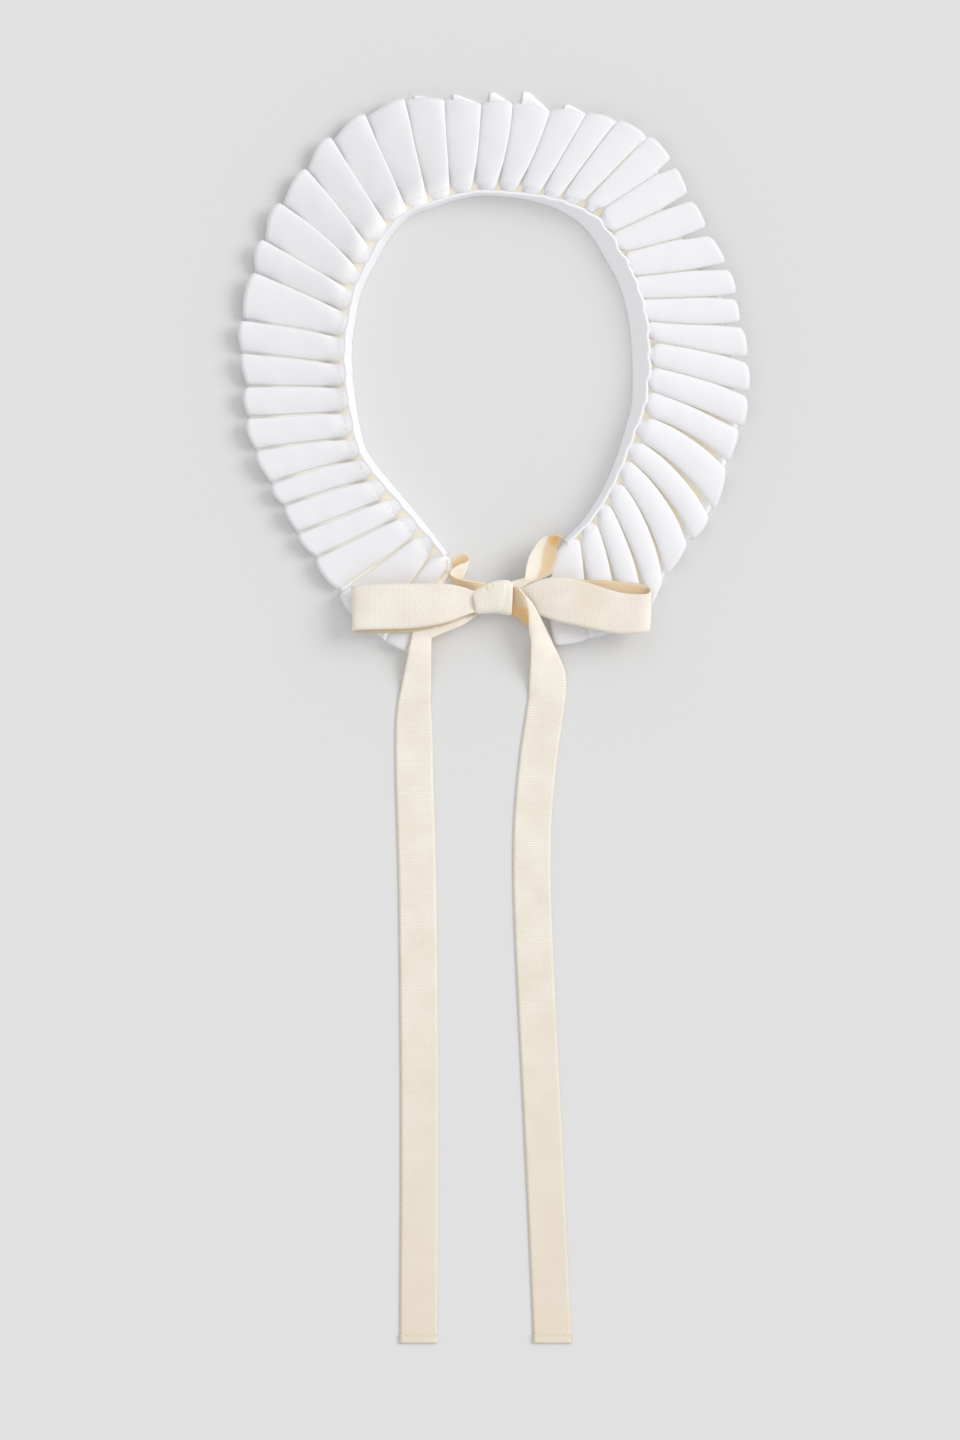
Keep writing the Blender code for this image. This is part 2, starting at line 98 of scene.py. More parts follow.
PLEAT_PHASES = 44
SEAM_ROWS = (0.0, 0.012, 0.025, 0.04, 0.06, 0.08, 0.105, 0.135, 0.17)
HEM_ROWS = 18

# The unevenness of hand-set flutes: how far each kind moves the cloth and over what distance.
FREE_ABOVE = 3.0
SWAY = 0.35
SWAY_SIZE = 17.0
DENT = 0.3
DENT_SIZE = 9.0
PUCKER = 0.45
PUCKER_SIZE = 1.7
PUCKER_TO = 0.1

# One row for each line between two flutes, clockwise from the left end of the collar:
# its end at the neck seam, its end at the hem, how far its middle bends clockwise, the open gap
# at the hem and the share of the length where it starts, how far the valley's hem falls short,
# the clockwise lean in pleat widths, the height at the hem, the bulge of the next flute's hem,
# how widely the valley's floor lies under the flutes beside it, and how much further out the
# next flute's hem starts than it ends.
LINE_COLUMNS = (
    "seam_x", "seam_y", "hem_x", "hem_y", "bend", "gap", "open_from", "notch", "lean", "rise", "bulge",
    "under", "step",
)
LINES = (
    (-23.0, 84.0, -44.5, 34.0, 0.0, 0.5, 0.0, 0.0, 0.0, 6.0, 0.5, 0.0, 0.0),
    (-29.5, 86.5, -56.0, 39.5, 2.5, 0.5, 0.0, 0.0, 0.1, 6.0, 3.5, 0.0, 0.0),
    (-38.0, 95.0, -79.5, 64.5, 0.0, 1.0, 0.0, 1.5, 0.15, 6.0, 2.5, 0.0, 0.0),
    (-46.0, 104.5, -92.0, 82.5, 0.0, 0.5, 0.0, 0.5, 0.25, 7.0, 1.5, 0.0, 0.0),
    (-55.0, 113.0, -101.5, 95.0, 0.0, 0.5, 0.0, 0.5, 0.3, 7.5, 1.0, 0.0, 0.0),
    (-61.5, 123.5, -109.0, 109.0, 1.0, 0.5, 0.0, 0.5, 0.3, 7.5, 1.5, 0.0, 0.0),
    (-68.0, 134.0, -115.5, 120.5, 1.3, 0.5, 0.0, 1.0, 0.3, 7.5, 1.5, 0.0, 0.0),
    (-73.0, 144.5, -123.5, 138.0, 0.6, 0.5, 0.0, 0.5, 0.3, 7.5, 2.0, 0.0, 0.0),
    (-75.0, 158.0, -128.0, 155.0, 0.0, 0.5, 0.0, 1.5, 0.3, 7.5, 2.0, 0.0, 0.0),
    (-75.5, 171.0, -128.5, 171.5, 0.0, 0.5, 0.0, 1.5, 0.35, 7.5, 1.0, 0.0, 0.0),
    (-77.5, 183.0, -131.5, 189.0, 0.0, 0.5, 0.0, 0.5, 0.35, 7.5, 1.5, 0.0, 0.0),
    (-77.0, 196.5, -131.5, 206.0, 0.8, 0.5, 0.0, 5.0, 0.4, 8.0, 2.5, 0.0, 0.0),
    (-76.0, 209.5, -124.5, 231.0, 0.5, 0.5, 0.0, 1.0, 0.45, 8.0, 3.5, 0.0, 0.0),
    (-75.5, 222.5, -119.5, 248.0, 0.0, 0.5, 0.0, 1.5, 0.45, 8.0, 3.5, 0.0, 0.0),
    (-70.5, 232.5, -110.5, 267.0, 2.0, 0.5, 0.0, 2.5, 0.5, 8.0, 2.5, 0.0, 0.0),
    (-65.5, 245.0, -97.5, 285.0, 0.8, 0.5, 0.0, 1.5, 0.5, 8.0, 4.0, 0.0, 0.0),
    (-55.5, 255.5, -84.0, 300.5, 0.0, 0.5, 0.0, 2.0, 0.5, 8.0, 3.0, 0.0, 0.0),
    (-45.0, 263.5, -66.5, 313.0, 0.0, 0.5, 0.0, 1.0, 0.5, 8.0, 1.5, 0.0, 0.0),
    (-34.5, 268.5, -46.5, 321.5, 0.0, 0.5, 0.0, 0.0, 0.45, 8.0, 1.0, 0.3, 0.5),
    (-23.0, 272.0, -26.5, 321.0, 0.0, 0.5, 0.0, -1.5, 0.4, 8.0, 0.5, 0.8, 1.0),
    (-11.5, 275.5, -7.0, 319.0, 0.5, 0.5, 0.0, -2.6, 0.35, 8.0, 0.5, 0.8, 1.5),
    (0.5, 275.0, 9.0, 319.0, 1.3, 0.5, 0.0, -4.2, 0.3, 8.0, 0.5, 0.9, 1.8),
    (11.5, 275.0, 28.5, 315.0, 1.0, 0.5, 0.0, -5.4, 0.3, 8.0, 1.0, 0.95, 2.2),
    (23.5, 272.5, 47.0, 313.5, 0.0, 0.5, 0.0, -2.8, 0.2, 8.0, 1.0, 0.8, 2.2),
    (33.0, 269.0, 63.0, 310.0, -0.5, 0.5, 0.0, -0.8, 0.15, 8.0, 1.0, 0.5, 2.4),
    (45.5, 267.5, 79.0, 302.5, 0.0, 0.5, 0.0, 0.0, 0.1, 8.0, 1.5, 0.0, 2.0),
    (55.0, 263.5, 93.0, 288.5, 0.0, 6.0, 0.7, 9.0, 0.0, 7.5, 1.0, 0.0, 0.8),
    (59.5, 251.0, 101.5, 270.5, 0.0, 4.5, 0.6, 15.0, 0.0, 7.5, 2.0, 0.0, 0.0),
    (66.5, 241.5, 110.5, 252.5, 0.0, 5.0, 0.6, 13.0, 0.0, 7.5, 2.0, 0.0, 0.0),
    (70.5, 229.0, 120.5, 234.5, 0.0, 4.0, 0.6, 14.0, 0.0, 7.5, 2.0, 0.0, 0.0),
    (74.0, 217.5, 125.5, 219.0, 0.0, 3.0, 0.7, 7.0, 0.0, 7.5, 1.0, 0.0, 0.0),
    (77.5, 206.5, 128.0, 204.5, 1.0, 3.0, 0.7, 8.0, 0.0, 7.5, 2.5, 0.0, 0.0),
    (82.0, 195.5, 130.5, 186.0, -0.5, 3.0, 0.7, 5.0, 0.0, 7.5, 3.0, 0.0, 0.0),
    (81.0, 183.0, 130.5, 168.5, -0.8, 3.0, 0.7, 4.5, 0.0, 7.5, 3.0, 0.0, 0.0),
    (79.5, 170.5, 127.5, 150.5, -1.0, 3.0, 0.2, 1.0, 0.0, 7.5, 1.5, 0.3, 0.0),
    (79.0, 157.0, 121.0, 131.5, -2.9, 4.8, 0.0, 0.5, 0.0, 7.5, 2.5, 0.3, 0.0),
    (74.0, 145.0, 113.0, 106.5, -3.9, 6.0, 0.0, 1.0, 0.0, 7.5, 2.5, 0.3, 0.0),
    (69.0, 135.5, 101.5, 92.0, -3.6, 4.6, 0.0, 1.0, 0.0, 7.0, 2.0, 0.3, 0.0),
    (65.5, 124.0, 88.5, 73.0, -3.7, 4.2, 0.0, 0.5, 0.0, 7.0, 1.0, 0.3, 0.0),
    (59.5, 113.0, 80.5, 55.0, -2.5, 4.4, 0.0, 0.0, 0.0, 6.5, 1.0, 0.3, 0.0),
    (53.0, 103.5, 66.0, 46.0, -2.3, 3.9, 0.0, 0.0, 0.0, 6.0, 1.0, 0.3, 0.0),
    (45.0, 94.5, 51.0, 41.5, -0.5, 3.4, 0.0, 0.0, 0.0, 6.0, 1.0, 0.0, 0.0),
    (34.2, 90.8, 31.5, 37.7, 4.2, 0.5, 0.0, 0.0, 0.0, 6.0, 0.0, 0.0, 0.0),
)

# The strip's left end: at shares of the first line's length, how far the flute's edge, the top of
# the narrow fold beside it and the edge of its turned flap stand out to the right of that line.
END_COLUMNS = ("share", "flute", "fold", "flap")
END_SECTIONS = (
    (0.0, 0.4, 0.4, 0.4),
    (0.06, 2.0, 2.1, 2.2),
    (0.1, 2.9, 3.1, 3.2),
    (0.15, 3.3, 3.7, 3.9),
    (0.2, 2.3, 3.6, 4.8),
    (0.28, 0.8, 3.3, 6.5),
    (0.34, 0.1, 2.8, 6.4),
    (0.5, 0.0, 1.0, 2.8),
    (0.6, 0.0, 0.3, 0.6),
    (1.0, 0.0, 0.2, 0.4),
)
END_LIT_TO = 0.14
END_LIT_EASE = 0.03
END_FOLD_WIDTH = 0.4
END_FOLD_RISE = 1.4
END_FLAP_DROP = 1.6
END_OPEN_FULL = 2.0
END_SHIFT_TO = 0.6
END_SHIFT_EASE = 0.35

# The painted shade and glow stored with the cloth, set by its depth in a fold: more where flutes
# have parted, less in the closed valleys of leaning flutes, none at the strip's open end. At the
# hem the painted fold tint fades and the painted glow turns white, and a flute's end at the seam
# gets a painted glow on the collar's shaded side, where the band's shadow falls.
OPEN_END_COLUMNS = 12
OPEN_EXTRA_PAINTED_SHADE = 0.25
SHINGLE_SHADE = 0.3
SHADE_STARTS = (0.03, 0.13)
HEM_LIT = (0.84, 0.97)
SHADED_FROM_X = -10.0
SHADED_EASE = 30.0
SEAM_LIT_SHARE = 0.22
SEAM_LIT_POWER = 1.6
SEAM_PAINTED_GLOW_STRENGTH = 0.32

# The neckband's inner foot, clockwise from the left end, and how far its top leans outward.
BAND_COLUMNS = ("x", "y", "lean")
BAND_SECTIONS = (
    (-23.6, 85.4, 1.5),
    (-27.0, 90.0, 1.5),
    (-36.0, 101.5, 2.3),
    (-48.5, 116.5, 2.5),
    (-60.5, 131.0, 2.7),
    (-67.0, 142.0, 2.8),
    (-71.0, 160.5, 2.9),
    (-73.0, 177.0, 2.9),
    (-73.5, 191.0, 2.9),
    (-72.5, 201.5, 2.9),
    (-69.0, 220.0, 3.0),
    (-62.0, 235.0, 3.0),
    (-53.5, 250.0, 2.5),
    (-43.0, 260.5, 2.0),
    (-31.0, 265.0, 2.0),
    (-19.5, 269.0, 1.5),
    (-4.5, 271.3, 1.5),
    (18.0, 269.0, 2.0),
    (35.5, 263.0, 4.5),
    (48.5, 253.0, 7.5),
    (58.0, 238.0, 8.3),
    (65.5, 223.5, 8.4),
    (70.0, 206.0, 8.5),
    (71.5, 189.5, 8.5),
    (72.0, 174.0, 7.5),
    (71.3, 162.0, 6.0),
    (68.0, 149.0, 4.5),
    (63.0, 133.5, 3.5),
    (56.0, 117.5, 3.0),
    (47.0, 103.5, 2.5),
    (40.0, 96.0, 2.0),
    (36.5, 92.3, 2.0),
)
BAND_STEPS = 10
BAND_RIPPLE = 0.22
RIDGE_RADIUS = 0.3
RIDGE_TALL = 1.2
RIDGE_WAVE = 2.6
RIDGE_STEP = 0.35
RIDGE_UPRIGHT = 0.35
RIDGE_LEANS = (2.0, 7.0)
RIDGE_ANGLES = (160, 120, 80, 40, 0, -40, -80)
BAND_INNER_SHARES = (0.0, 0.12, 0.3, 0.5, 0.7, 0.86)
BAND_OUTER_SHARES = (0.8, 0.55, 0.3, 0.0)

# Tape stretches: each row gives the two edges of the tape where it passes, and how far its
# middle stands proud of the line between them.
TAPE_COLUMNS = ("a_x", "a_y", "a_z", "b_x", "b_y", "b_z", "belly")
LEFT_LOOP = (
    (-8.0, 64.0, 9.4, -8.0, 56.0, 9.4, 0.0),
    (-18.0, 66.5, 9.5, -18.0, 51.5, 9.5, 0.2),
    (-28.0, 67.0, 9.6, -28.0, 47.5, 9.6, 0.2),
    (-42.0, 67.5, 9.5, -42.0, 44.5, 9.5, 0.2),
    (-57.0, 67.5, 9.5, -57.0, 43.8, 9.5, 0.2),
    (-70.0, 67.3, 9.6, -69.5, 43.9, 9.6, 0.2),
    (-73.8, 67.6, 12.2, -73.2, 44.4, 12.2, 0.3),
    (-71.0, 68.6, 14.9, -70.5, 45.4, 14.9, 0.3),
    (-59.0, 69.4, 15.3, -59.0, 45.8, 15.3, 0.2),
    (-44.0, 69.6, 15.3, -44.0, 46.2, 15.3, 0.1),
    (-32.0, 69.8, 15.0, -32.0, 47.8, 15.0, 0.2),
    (-23.0, 69.3, 14.3, -23.0, 49.8, 14.3, 0.4),
    (-16.0, 67.9, 13.2, -16.0, 52.5, 13.2, 0.7),
    (-11.0, 66.0, 12.0, -10.5, 54.5, 12.0, 0.8),
    (-7.5, 65.0, 11.2, -7.5, 54.2, 11.2, 0.8),
)
RIGHT_LOOP = (
    (8.0, 64.0, 9.4, 8.0, 57.0, 9.4, 0.0),
    (14.0, 67.0, 9.4, 14.0, 56.0, 9.4, 0.2),
    (27.0, 70.5, 9.5, 27.0, 53.0, 9.5, 0.2),
    (44.0, 71.6, 9.5, 44.0, 51.5, 9.5, 0.2),
    (61.0, 71.2, 9.5, 61.0, 50.0, 9.5, 0.2),
    (77.5, 69.2, 9.6, 77.0, 47.0, 9.6, 0.2),
    (81.6, 66.4, 12.2, 81.1, 45.0, 12.2, 0.3),
    (78.5, 64.2, 14.9, 78.0, 44.0, 14.9, 0.3),
    (66.0, 65.0, 15.3, 66.0, 43.4, 15.3, 0.2),
    (54.0, 68.6, 15.3, 56.5, 44.9, 15.3, 0.1),
    (43.5, 71.9, 15.2, 43.0, 47.8, 15.2, 0.2),
    (32.0, 73.2, 14.5, 31.5, 50.5, 14.5, 0.4),
    (22.5, 71.0, 13.3, 22.5, 54.0, 12.0, 0.5),
    (16.0, 68.0, 11.9, 16.5, 56.6, 10.2, 0.4),
    (10.0, 65.6, 10.9, 10.5, 57.6, 9.4, 0.3),
)
LEFT_TAIL = (
    (-7.5, 62.6, 7.0, -7.5, 54.4, 6.6, 0.3),
    (-12.0, 63.6, 7.2, -11.4, 51.2, 6.6, 0.3),
    (-18.0, 64.0, 7.8, -17.0, 47.6, 7.6, 0.3),
    (-27.0, 62.0, 8.0, -24.5, 44.6, 7.9, 0.2),
    (-37.0, 56.0, 8.0, -31.0, 41.7, 7.9, 0.1),
    (-41.4, 46.5, 7.9, -32.2, 40.6, 7.6, 0.2),
    (-43.4, 38.5, 7.5, -32.4, 33.5, 6.0, 0.3),
    (-44.9, 31.0, 5.9, -32.4, 27.5, 4.0, 0.3),
    (-46.4, 24.0, 3.6, -32.4, 21.0, 2.0, 0.3),
    (-48.0, 16.0, 1.4, -32.4, 14.5, 0.8, 0.2),
    (-50.0, 6.5, 0.4, -32.6, 6.5, 0.4, 0.1),
    (-51.0, -6.0, 0.35, -31.8, -6.0, 0.35, 0.0),
    (-50.8, -35.0, 0.35, -31.2, -35.0, 0.35, 0.0),
    (-49.2, -95.0, 0.35, -29.6, -95.0, 0.35, 0.0),
    (-48.2, -210.0, 0.35, -28.6, -210.0, 0.35, 0.0),
    (-48.6, -300.0, 0.35, -29.0, -300.0, 0.35, 0.0),
    (-48.8, -325.3, 0.35, -29.4, -325.3, 0.35, 0.0),
)
RIGHT_TAIL = (
    (8.1, 53.8, 8.0, 8.1, 66.8, 9.5, 0.2),
    (10.9, 52.7, 8.2, 10.7, 68.1, 12.6, 0.4),
    (14.5, 50.4, 8.8, 12.3, 67.6, 14.4, 0.6),
    (18.2, 46.6, 11.4, 14.2, 66.6, 15.0, 0.8),
    (18.9, 43.6, 11.6, 17.0, 63.2, 15.0, 1.0),
    (19.6, 39.8, 10.8, 19.8, 60.3, 14.8, 1.0),
    (19.4, 35.6, 9.4, 22.1, 56.4, 14.0, 0.9),
    (19.3, 31.5, 7.6, 25.2, 50.4, 12.0, 0.8),
    (19.1, 27.3, 5.6, 28.6, 43.4, 8.6, 0.6),
    (18.8, 22.6, 3.5, 32.2, 35.9, 5.0, 0.5),
    (18.4, 17.4, 1.6, 35.6, 28.6, 2.4, 0.4),
    (18.0, 11.7, 0.4, 37.7, 21.6, 0.8, 0.2),
    (17.4, 6.0, 0.35, 37.2, 8.0, 0.4, 0.1),
    (13.4, -22.0, 0.35, 33.1, -22.0, 0.35, 0.0),
    (10.4, -60.0, 0.35, 30.0, -60.0, 0.35, 0.0),
    (11.0, -110.0, 0.35, 30.6, -110.0, 0.35, 0.0),
    (16.2, -220.0, 0.35, 35.8, -220.0, 0.35, 0.0),
    (19.8, -300.0, 0.35, 39.5, -300.0, 0.35, 0.0),
    (20.7, -325.3, 0.35, 40.5, -325.3, 0.35, 0.0),
)
LEFT_LEAD = (
    (-21.8, 82.2, 12.0, -21.3, 77.8, 3.2, 0.0),
    (-20.2, 83.5, 12.4, -20.0, 77.6, 3.4, 0.2),
    (-18.0, 84.6, 12.6, -18.4, 77.2, 3.6, 0.3),
    (-15.5, 85.2, 12.8, -16.9, 76.5, 3.8, 0.4),
    (-13.5, 84.7, 12.9, -16.0, 75.3, 4.2, 0.4),
    (-12.6, 83.2, 12.9, -15.8, 73.6, 4.6, 0.4),
    (-13.0, 81.6, 12.8, -16.5, 72.3, 4.9, 0.3),
    (-14.9, 80.5, 12.6, -17.8, 72.3, 5.0, 0.2),
    (-17.5, 79.5, 12.3, -19.3, 72.8, 5.0, 0.1),
    (-20.3, 77.9, 11.8, -20.9, 73.3, 4.8, 0.1),
    (-22.1, 76.6, 11.2, -21.8, 73.0, 4.8, 0.0),
    (-22.3, 75.3, 10.6, -22.2, 72.0, 5.0, 0.0),
    (-21.6, 74.0, 10.2, -21.9, 70.6, 5.4, 0.0),
    (-19.5, 72.8, 10.0, -20.1, 69.3, 5.8, 0.1),
    (-16.4, 71.7, 10.2, -16.6, 68.3, 6.2, 0.1),
    (-11.7, 70.8, 10.5, -12.0, 67.2, 6.8, 0.2),
    (-6.7, 70.1, 10.8, -8.7, 65.7, 7.4, 0.2),
    (-3.5, 69.5, 11.0, -5.7, 64.1, 7.8, 0.2),
)
RIGHT_LEAD = (
    (36.3, 93.2, 12.0, 33.7, 91.0, 4.0, 0.0),
    (35.4, 94.2, 12.6, 33.2, 88.9, 6.8, -0.5),
    (33.4, 94.8, 13.1, 33.0, 86.3, 7.2, -1.2),
    (30.2, 94.9, 13.5, 33.0, 83.5, 7.4, -2.0),
    (26.6, 93.8, 13.8, 32.8, 80.8, 7.6, -2.6),
    (23.6, 91.7, 14.0, 31.9, 78.0, 7.8, -3.0),
    (20.8, 87.8, 14.0, 30.6, 75.0, 8.0, -3.0),
    (18.7, 83.8, 13.9, 28.1, 73.3, 8.3, -2.6),
    (17.5, 79.8, 13.7, 25.2, 72.0, 8.8, -2.0),
    (16.8, 75.8, 13.5, 22.5, 70.8, 9.4, -1.2),
    (16.3, 72.7, 13.3, 19.4, 70.0, 10.0, -0.6),
    (14.2, 72.0, 13.0, 16.7, 67.9, 10.6, -0.3),
    (11.2, 71.3, 12.6, 13.2, 66.1, 10.8, 0.0),
    (9.0, 70.4, 12.2, 10.2, 65.4, 10.8, 0.0),
)

# The flat cut of what shows of each piece: its width and its length.
LEFT_RUFFLE_FLAT = (54.7, 943.0)
RIGHT_RUFFLE_FLAT = (53.9, 873.0)
LEFT_LOOP_FLAT = (20.0, 128.0)
RIGHT_LOOP_FLAT = (20.0, 143.0)
LEFT_TAIL_FLAT = (20.0, 402.0)
RIGHT_TAIL_FLAT = (20.0, 391.0)
LEFT_LEAD_FLAT = (10.0, 30.0)
RIGHT_LEAD_FLAT = (12.0, 40.0)
TAPE_STEPS = 8
TAPE_ACROSS = 12
TAPE_SWAY = 0.5
TAPE_SWAY_SIZE = 13.0
TAPE_FREE_ABOVE = 1.0
TAPE_FREE_EASE = 4.0

# Sections of the knot across the bow: where, its lower and upper edge, its underside and top.
KNOT_COLUMNS = ("x", "low_y", "high_y", "bottom", "top")
KNOT_SECTIONS = (
    (-7.0, 56.4, 62.6, 6.4, 10.8),
    (-8.4, 54.9, 64.0, 4.8, 12.4),
    (-8.8, 54.2, 65.2, 3.8, 13.3),
    (-7.8, 53.9, 66.4, 3.0, 13.9),
    (-5.4, 53.9, 68.0, 2.4, 14.4),
    (-2.4, 54.1, 69.8, 2.0, 14.7),
    (1.2, 54.2, 71.1, 2.0, 15.0),
    (4.8, 53.7, 71.6, 2.0, 15.1),
    (7.6, 53.2, 71.3, 2.4, 14.9),
    (9.0, 53.3, 70.3, 3.0, 14.5),
    (9.5, 54.0, 69.0, 3.8, 13.8),
    (9.0, 55.2, 67.0, 4.8, 12.6),
    (7.6, 56.8, 65.0, 6.4, 11.0),
)
KNOT_SIDES = 72
KNOT_STEPS = 6
KNOT_SQUARENESS = 0.68
KNOT_FLARE_LEFT = 0.26
KNOT_FLARE_RIGHT = 0.08
CREASE_LOW = (5.2, 59.0)
CREASE_SLANT = 0.25
CREASE_WIDTH = 1.3
CREASE_DEPTH = 0.28
KNOT_UNEVEN = 0.25
KNOT_UNEVEN_SIZE = 4.0

# Small dents of the knot: where, how far each reaches and how deep it is.
KNOT_DENTS = (
    (-1.2, 68.6, 0.8, 1.1),
    (-4.2, 66.9, 1.3, 0.8),
    (-2.6, 68.0, 0.8, -0.5),
    (8.0, 56.0, 1.6, 0.3),
)

STITCH_LENGTH = 1.5
STITCH_RADIUS = 0.2
STITCH_LIFT = 0.4
STITCH_SIDES = 6
STITCH_PROFILE = ((-0.5, 0.4), (-0.4, 0.9), (0.0, 1.0), (0.4, 0.9), (0.5, 0.4))
SEAM_STITCH_PHASES = (0.36, 0.42, 0.48, 0.54, 0.6, 0.66)
SEAM_STITCH_SHARE = 0.05

# Where a tape's painted shade on its inside begins, as lines of points from above, from the bottom
# up, and how dark each place of painted shade is. What is not shaded gets a painted glow.
LEAST_SHADE = 0.02
LEAD_LIT_EDGE = ((18.6, 69.5), (21.5, 72.5), (23.6, 77.5), (24.0, 83.0), (25.2, 88.5), (27.0, 92.5))
LEAD_SHADE = 0.62
LEAD_SHADE_EASE = 1.4
LEAD_LIT = 0.13
LEAD_RIM = (0.9, 0.06)
LEAD_RIM_STARTS = (0.3, 0.1)
LEAD_CURL = (31.5, 92.0)
LEAD_CURL_REACH = 6.5
LEAD_CURL_PAINTED_SHADE = 1.15
LEAD_CURL_FLAT = 0.8
LEFT_LEAD_LIT = 0.6
TAIL_FOLD = ((18.7, 46.4), (18.7, 52.8), (18.2, 57.8), (16.7, 62.8), (13.4, 66.6))
TAIL_FOLD_BELOW = 2.0
TAIL_FOLD_EASE = 0.4
TAIL_FOLD_SHADE = 0.58
TAIL_FOLD_SLIT = 57.3
TAIL_SLIT_SHADE = 0.9
TAIL_LIT = 0.35
TAIL_LIT_TO = 10.0
TAIL_LIT_EASE = 30.0
LOOP_SOFT_SHADE = 0.2
LOOP_SHADE_AT = 60.5
LOOP_SHADE_SLANT = 0.2
LOOP_SHADE_WIDTH = 5.0
LOOP_LOW_EDGE = ((-59.0, 45.8), (-44.0, 46.2), (-32.0, 47.8), (-23.0, 49.8), (-16.0, 52.5), (-8.0, 54.3))
SLIVER_SHADE = 0.7
SLIVER_EASE = 1.2
SLIVER_TO = 0.3
TAPE_PAINTED_GLOW_STRENGTH = 0.3
TAIL_HEM = 4.6
TAIL_HEM_STITCHES = 7
HEM_FOLD_SHARES = (0.004, 0.2, 0.4, 0.6, 0.8, 1.0)
HEM_FOLD_THICKNESS = 0.9
HEM_STITCH_SPAN = (0.04, 0.96)
HEM_STITCH_INSET = 0.7
HEM_STITCH_HEIGHT = 1.45

POPLIN_WHITE = (0.872, 0.869, 0.9, 1.0)
# Painted tints for the folds, by depth: lighter on the flutes' sides, cream deeper in, warmer cream
# where flutes have parted.
POPLIN_SHADE = (0.9, 0.895, 0.9, 1.0)
POPLIN_PAINTED_HOLLOW_SHADE = (0.93, 0.91, 0.80, 1.0)
POPLIN_PAINTED_CREVICE_SHADE = (0.91, 0.865, 0.765, 1.0)
# The neckband's darker white, under its painted glow.
BAND_WHITE = (0.765, 0.762, 0.79, 1.0)
TAPE_CREAM = (0.985, 0.96, 0.885, 1.0)
TAPE_RIB = (0.775, 0.68, 0.55, 1.0)
# Painted warm shade: the tape's colours for its insides and folds.
TAPE_PAINTED_SHADE = (0.86, 0.70, 0.49, 1.0)
TAPE_PAINTED_SHADE_RIB = (0.78, 0.61, 0.40, 1.0)
THREAD_WHITE = (0.86, 0.86, 0.88, 1.0)
THREAD_CREAM = (0.74, 0.66, 0.52, 1.0)
# A darker, browner tape colour towards the bottom, down along the tails.
TAPE_LOWER_TONE = (0.84, 0.745, 0.635, 1.0)
# Painted deep orange shade for the tape's deepest folds.
TAPE_PAINTED_DEEP_SHADE = (0.86, 0.54, 0.21, 1.0)
TAPE_PAINTED_DEEP_SHADE_RIB = (0.74, 0.44, 0.16, 1.0)
# Heights, in metres, over which the tape turns from that darker colour to its own.
TAPE_LOWER_TONE_FROM = (-0.34, -0.05)
FLOOR_GREY = (0.715, 0.715, 0.715, 1.0)
FLOOR_FILL = 0.05
FLOOR_SIZE = 4000.0
FLOOR_DROP = 0.05

# Painted glow in the poplin's deep folds: its colour, and its strength from half to full depth.
FOLD_GLOW = (0.93, 0.865, 0.69, 1.0)
FOLD_PAINTED_GLOW_STRENGTH = (0.0, 0.26)
# An even painted glow over the neckband: its colour and strength.
BAND_GLOW = (0.98, 0.98, 1.0, 1.0)
BAND_PAINTED_GLOW_STRENGTH = (0.13, 0.13)
POPLIN_THREAD = 0.3
TAPE_THREAD = 0.4
TAPE_RIB_PITCH = 0.9
HERRINGBONE_COLUMN = 2.0
HERRINGBONE_LEAN = 0.16

WORLD_LIGHT = 0.76
KEY_LIGHT = 1.34
KEY_ELEVATION = 35.0
KEY_AZIMUTH = 24.0
KEY_SOFTNESS = 32.0


def columns(rows, names):
    """The table's columns by name, as arrays."""
    table = np.array(rows, dtype=float)
    return {name: table[:, i] for i, name in enumerate(names)}


def smooth_rows(rows, steps):
    """Catmull-Rom points through the rows of a table, with the given steps between two rows."""
    table = np.array(rows, dtype=float)
    ends = np.vstack([2 * table[0] - table[1], table, 2 * table[-1] - table[-2]])
    points = []
    for i in range(1, len(ends) - 2):
        before, start, stop, after = ends[i - 1 : i + 3]
        for step in range(steps):
            u = step / steps
            points.append(
                0.5
                * (
                    2 * start
                    + (stop - before) * u
                    + (2 * before - 5 * start + 4 * stop - after) * u**2
                    + (3 * start - before - 3 * stop + after) * u**3
                )
            )
    points.append(table[-1])
    return np.array(points)


def wobble(x, y, z, size):
    """A smooth value from -1 to 1 that changes over the given size in millimetres."""
    return noise.noise(Vector((x / size, y / size, z / size)))


def ramp(value, start, width):
    """A straight step from 0 to 1 that begins at a start and takes a width."""
    return np.clip((value - start) / width, 0.0, 1.0)


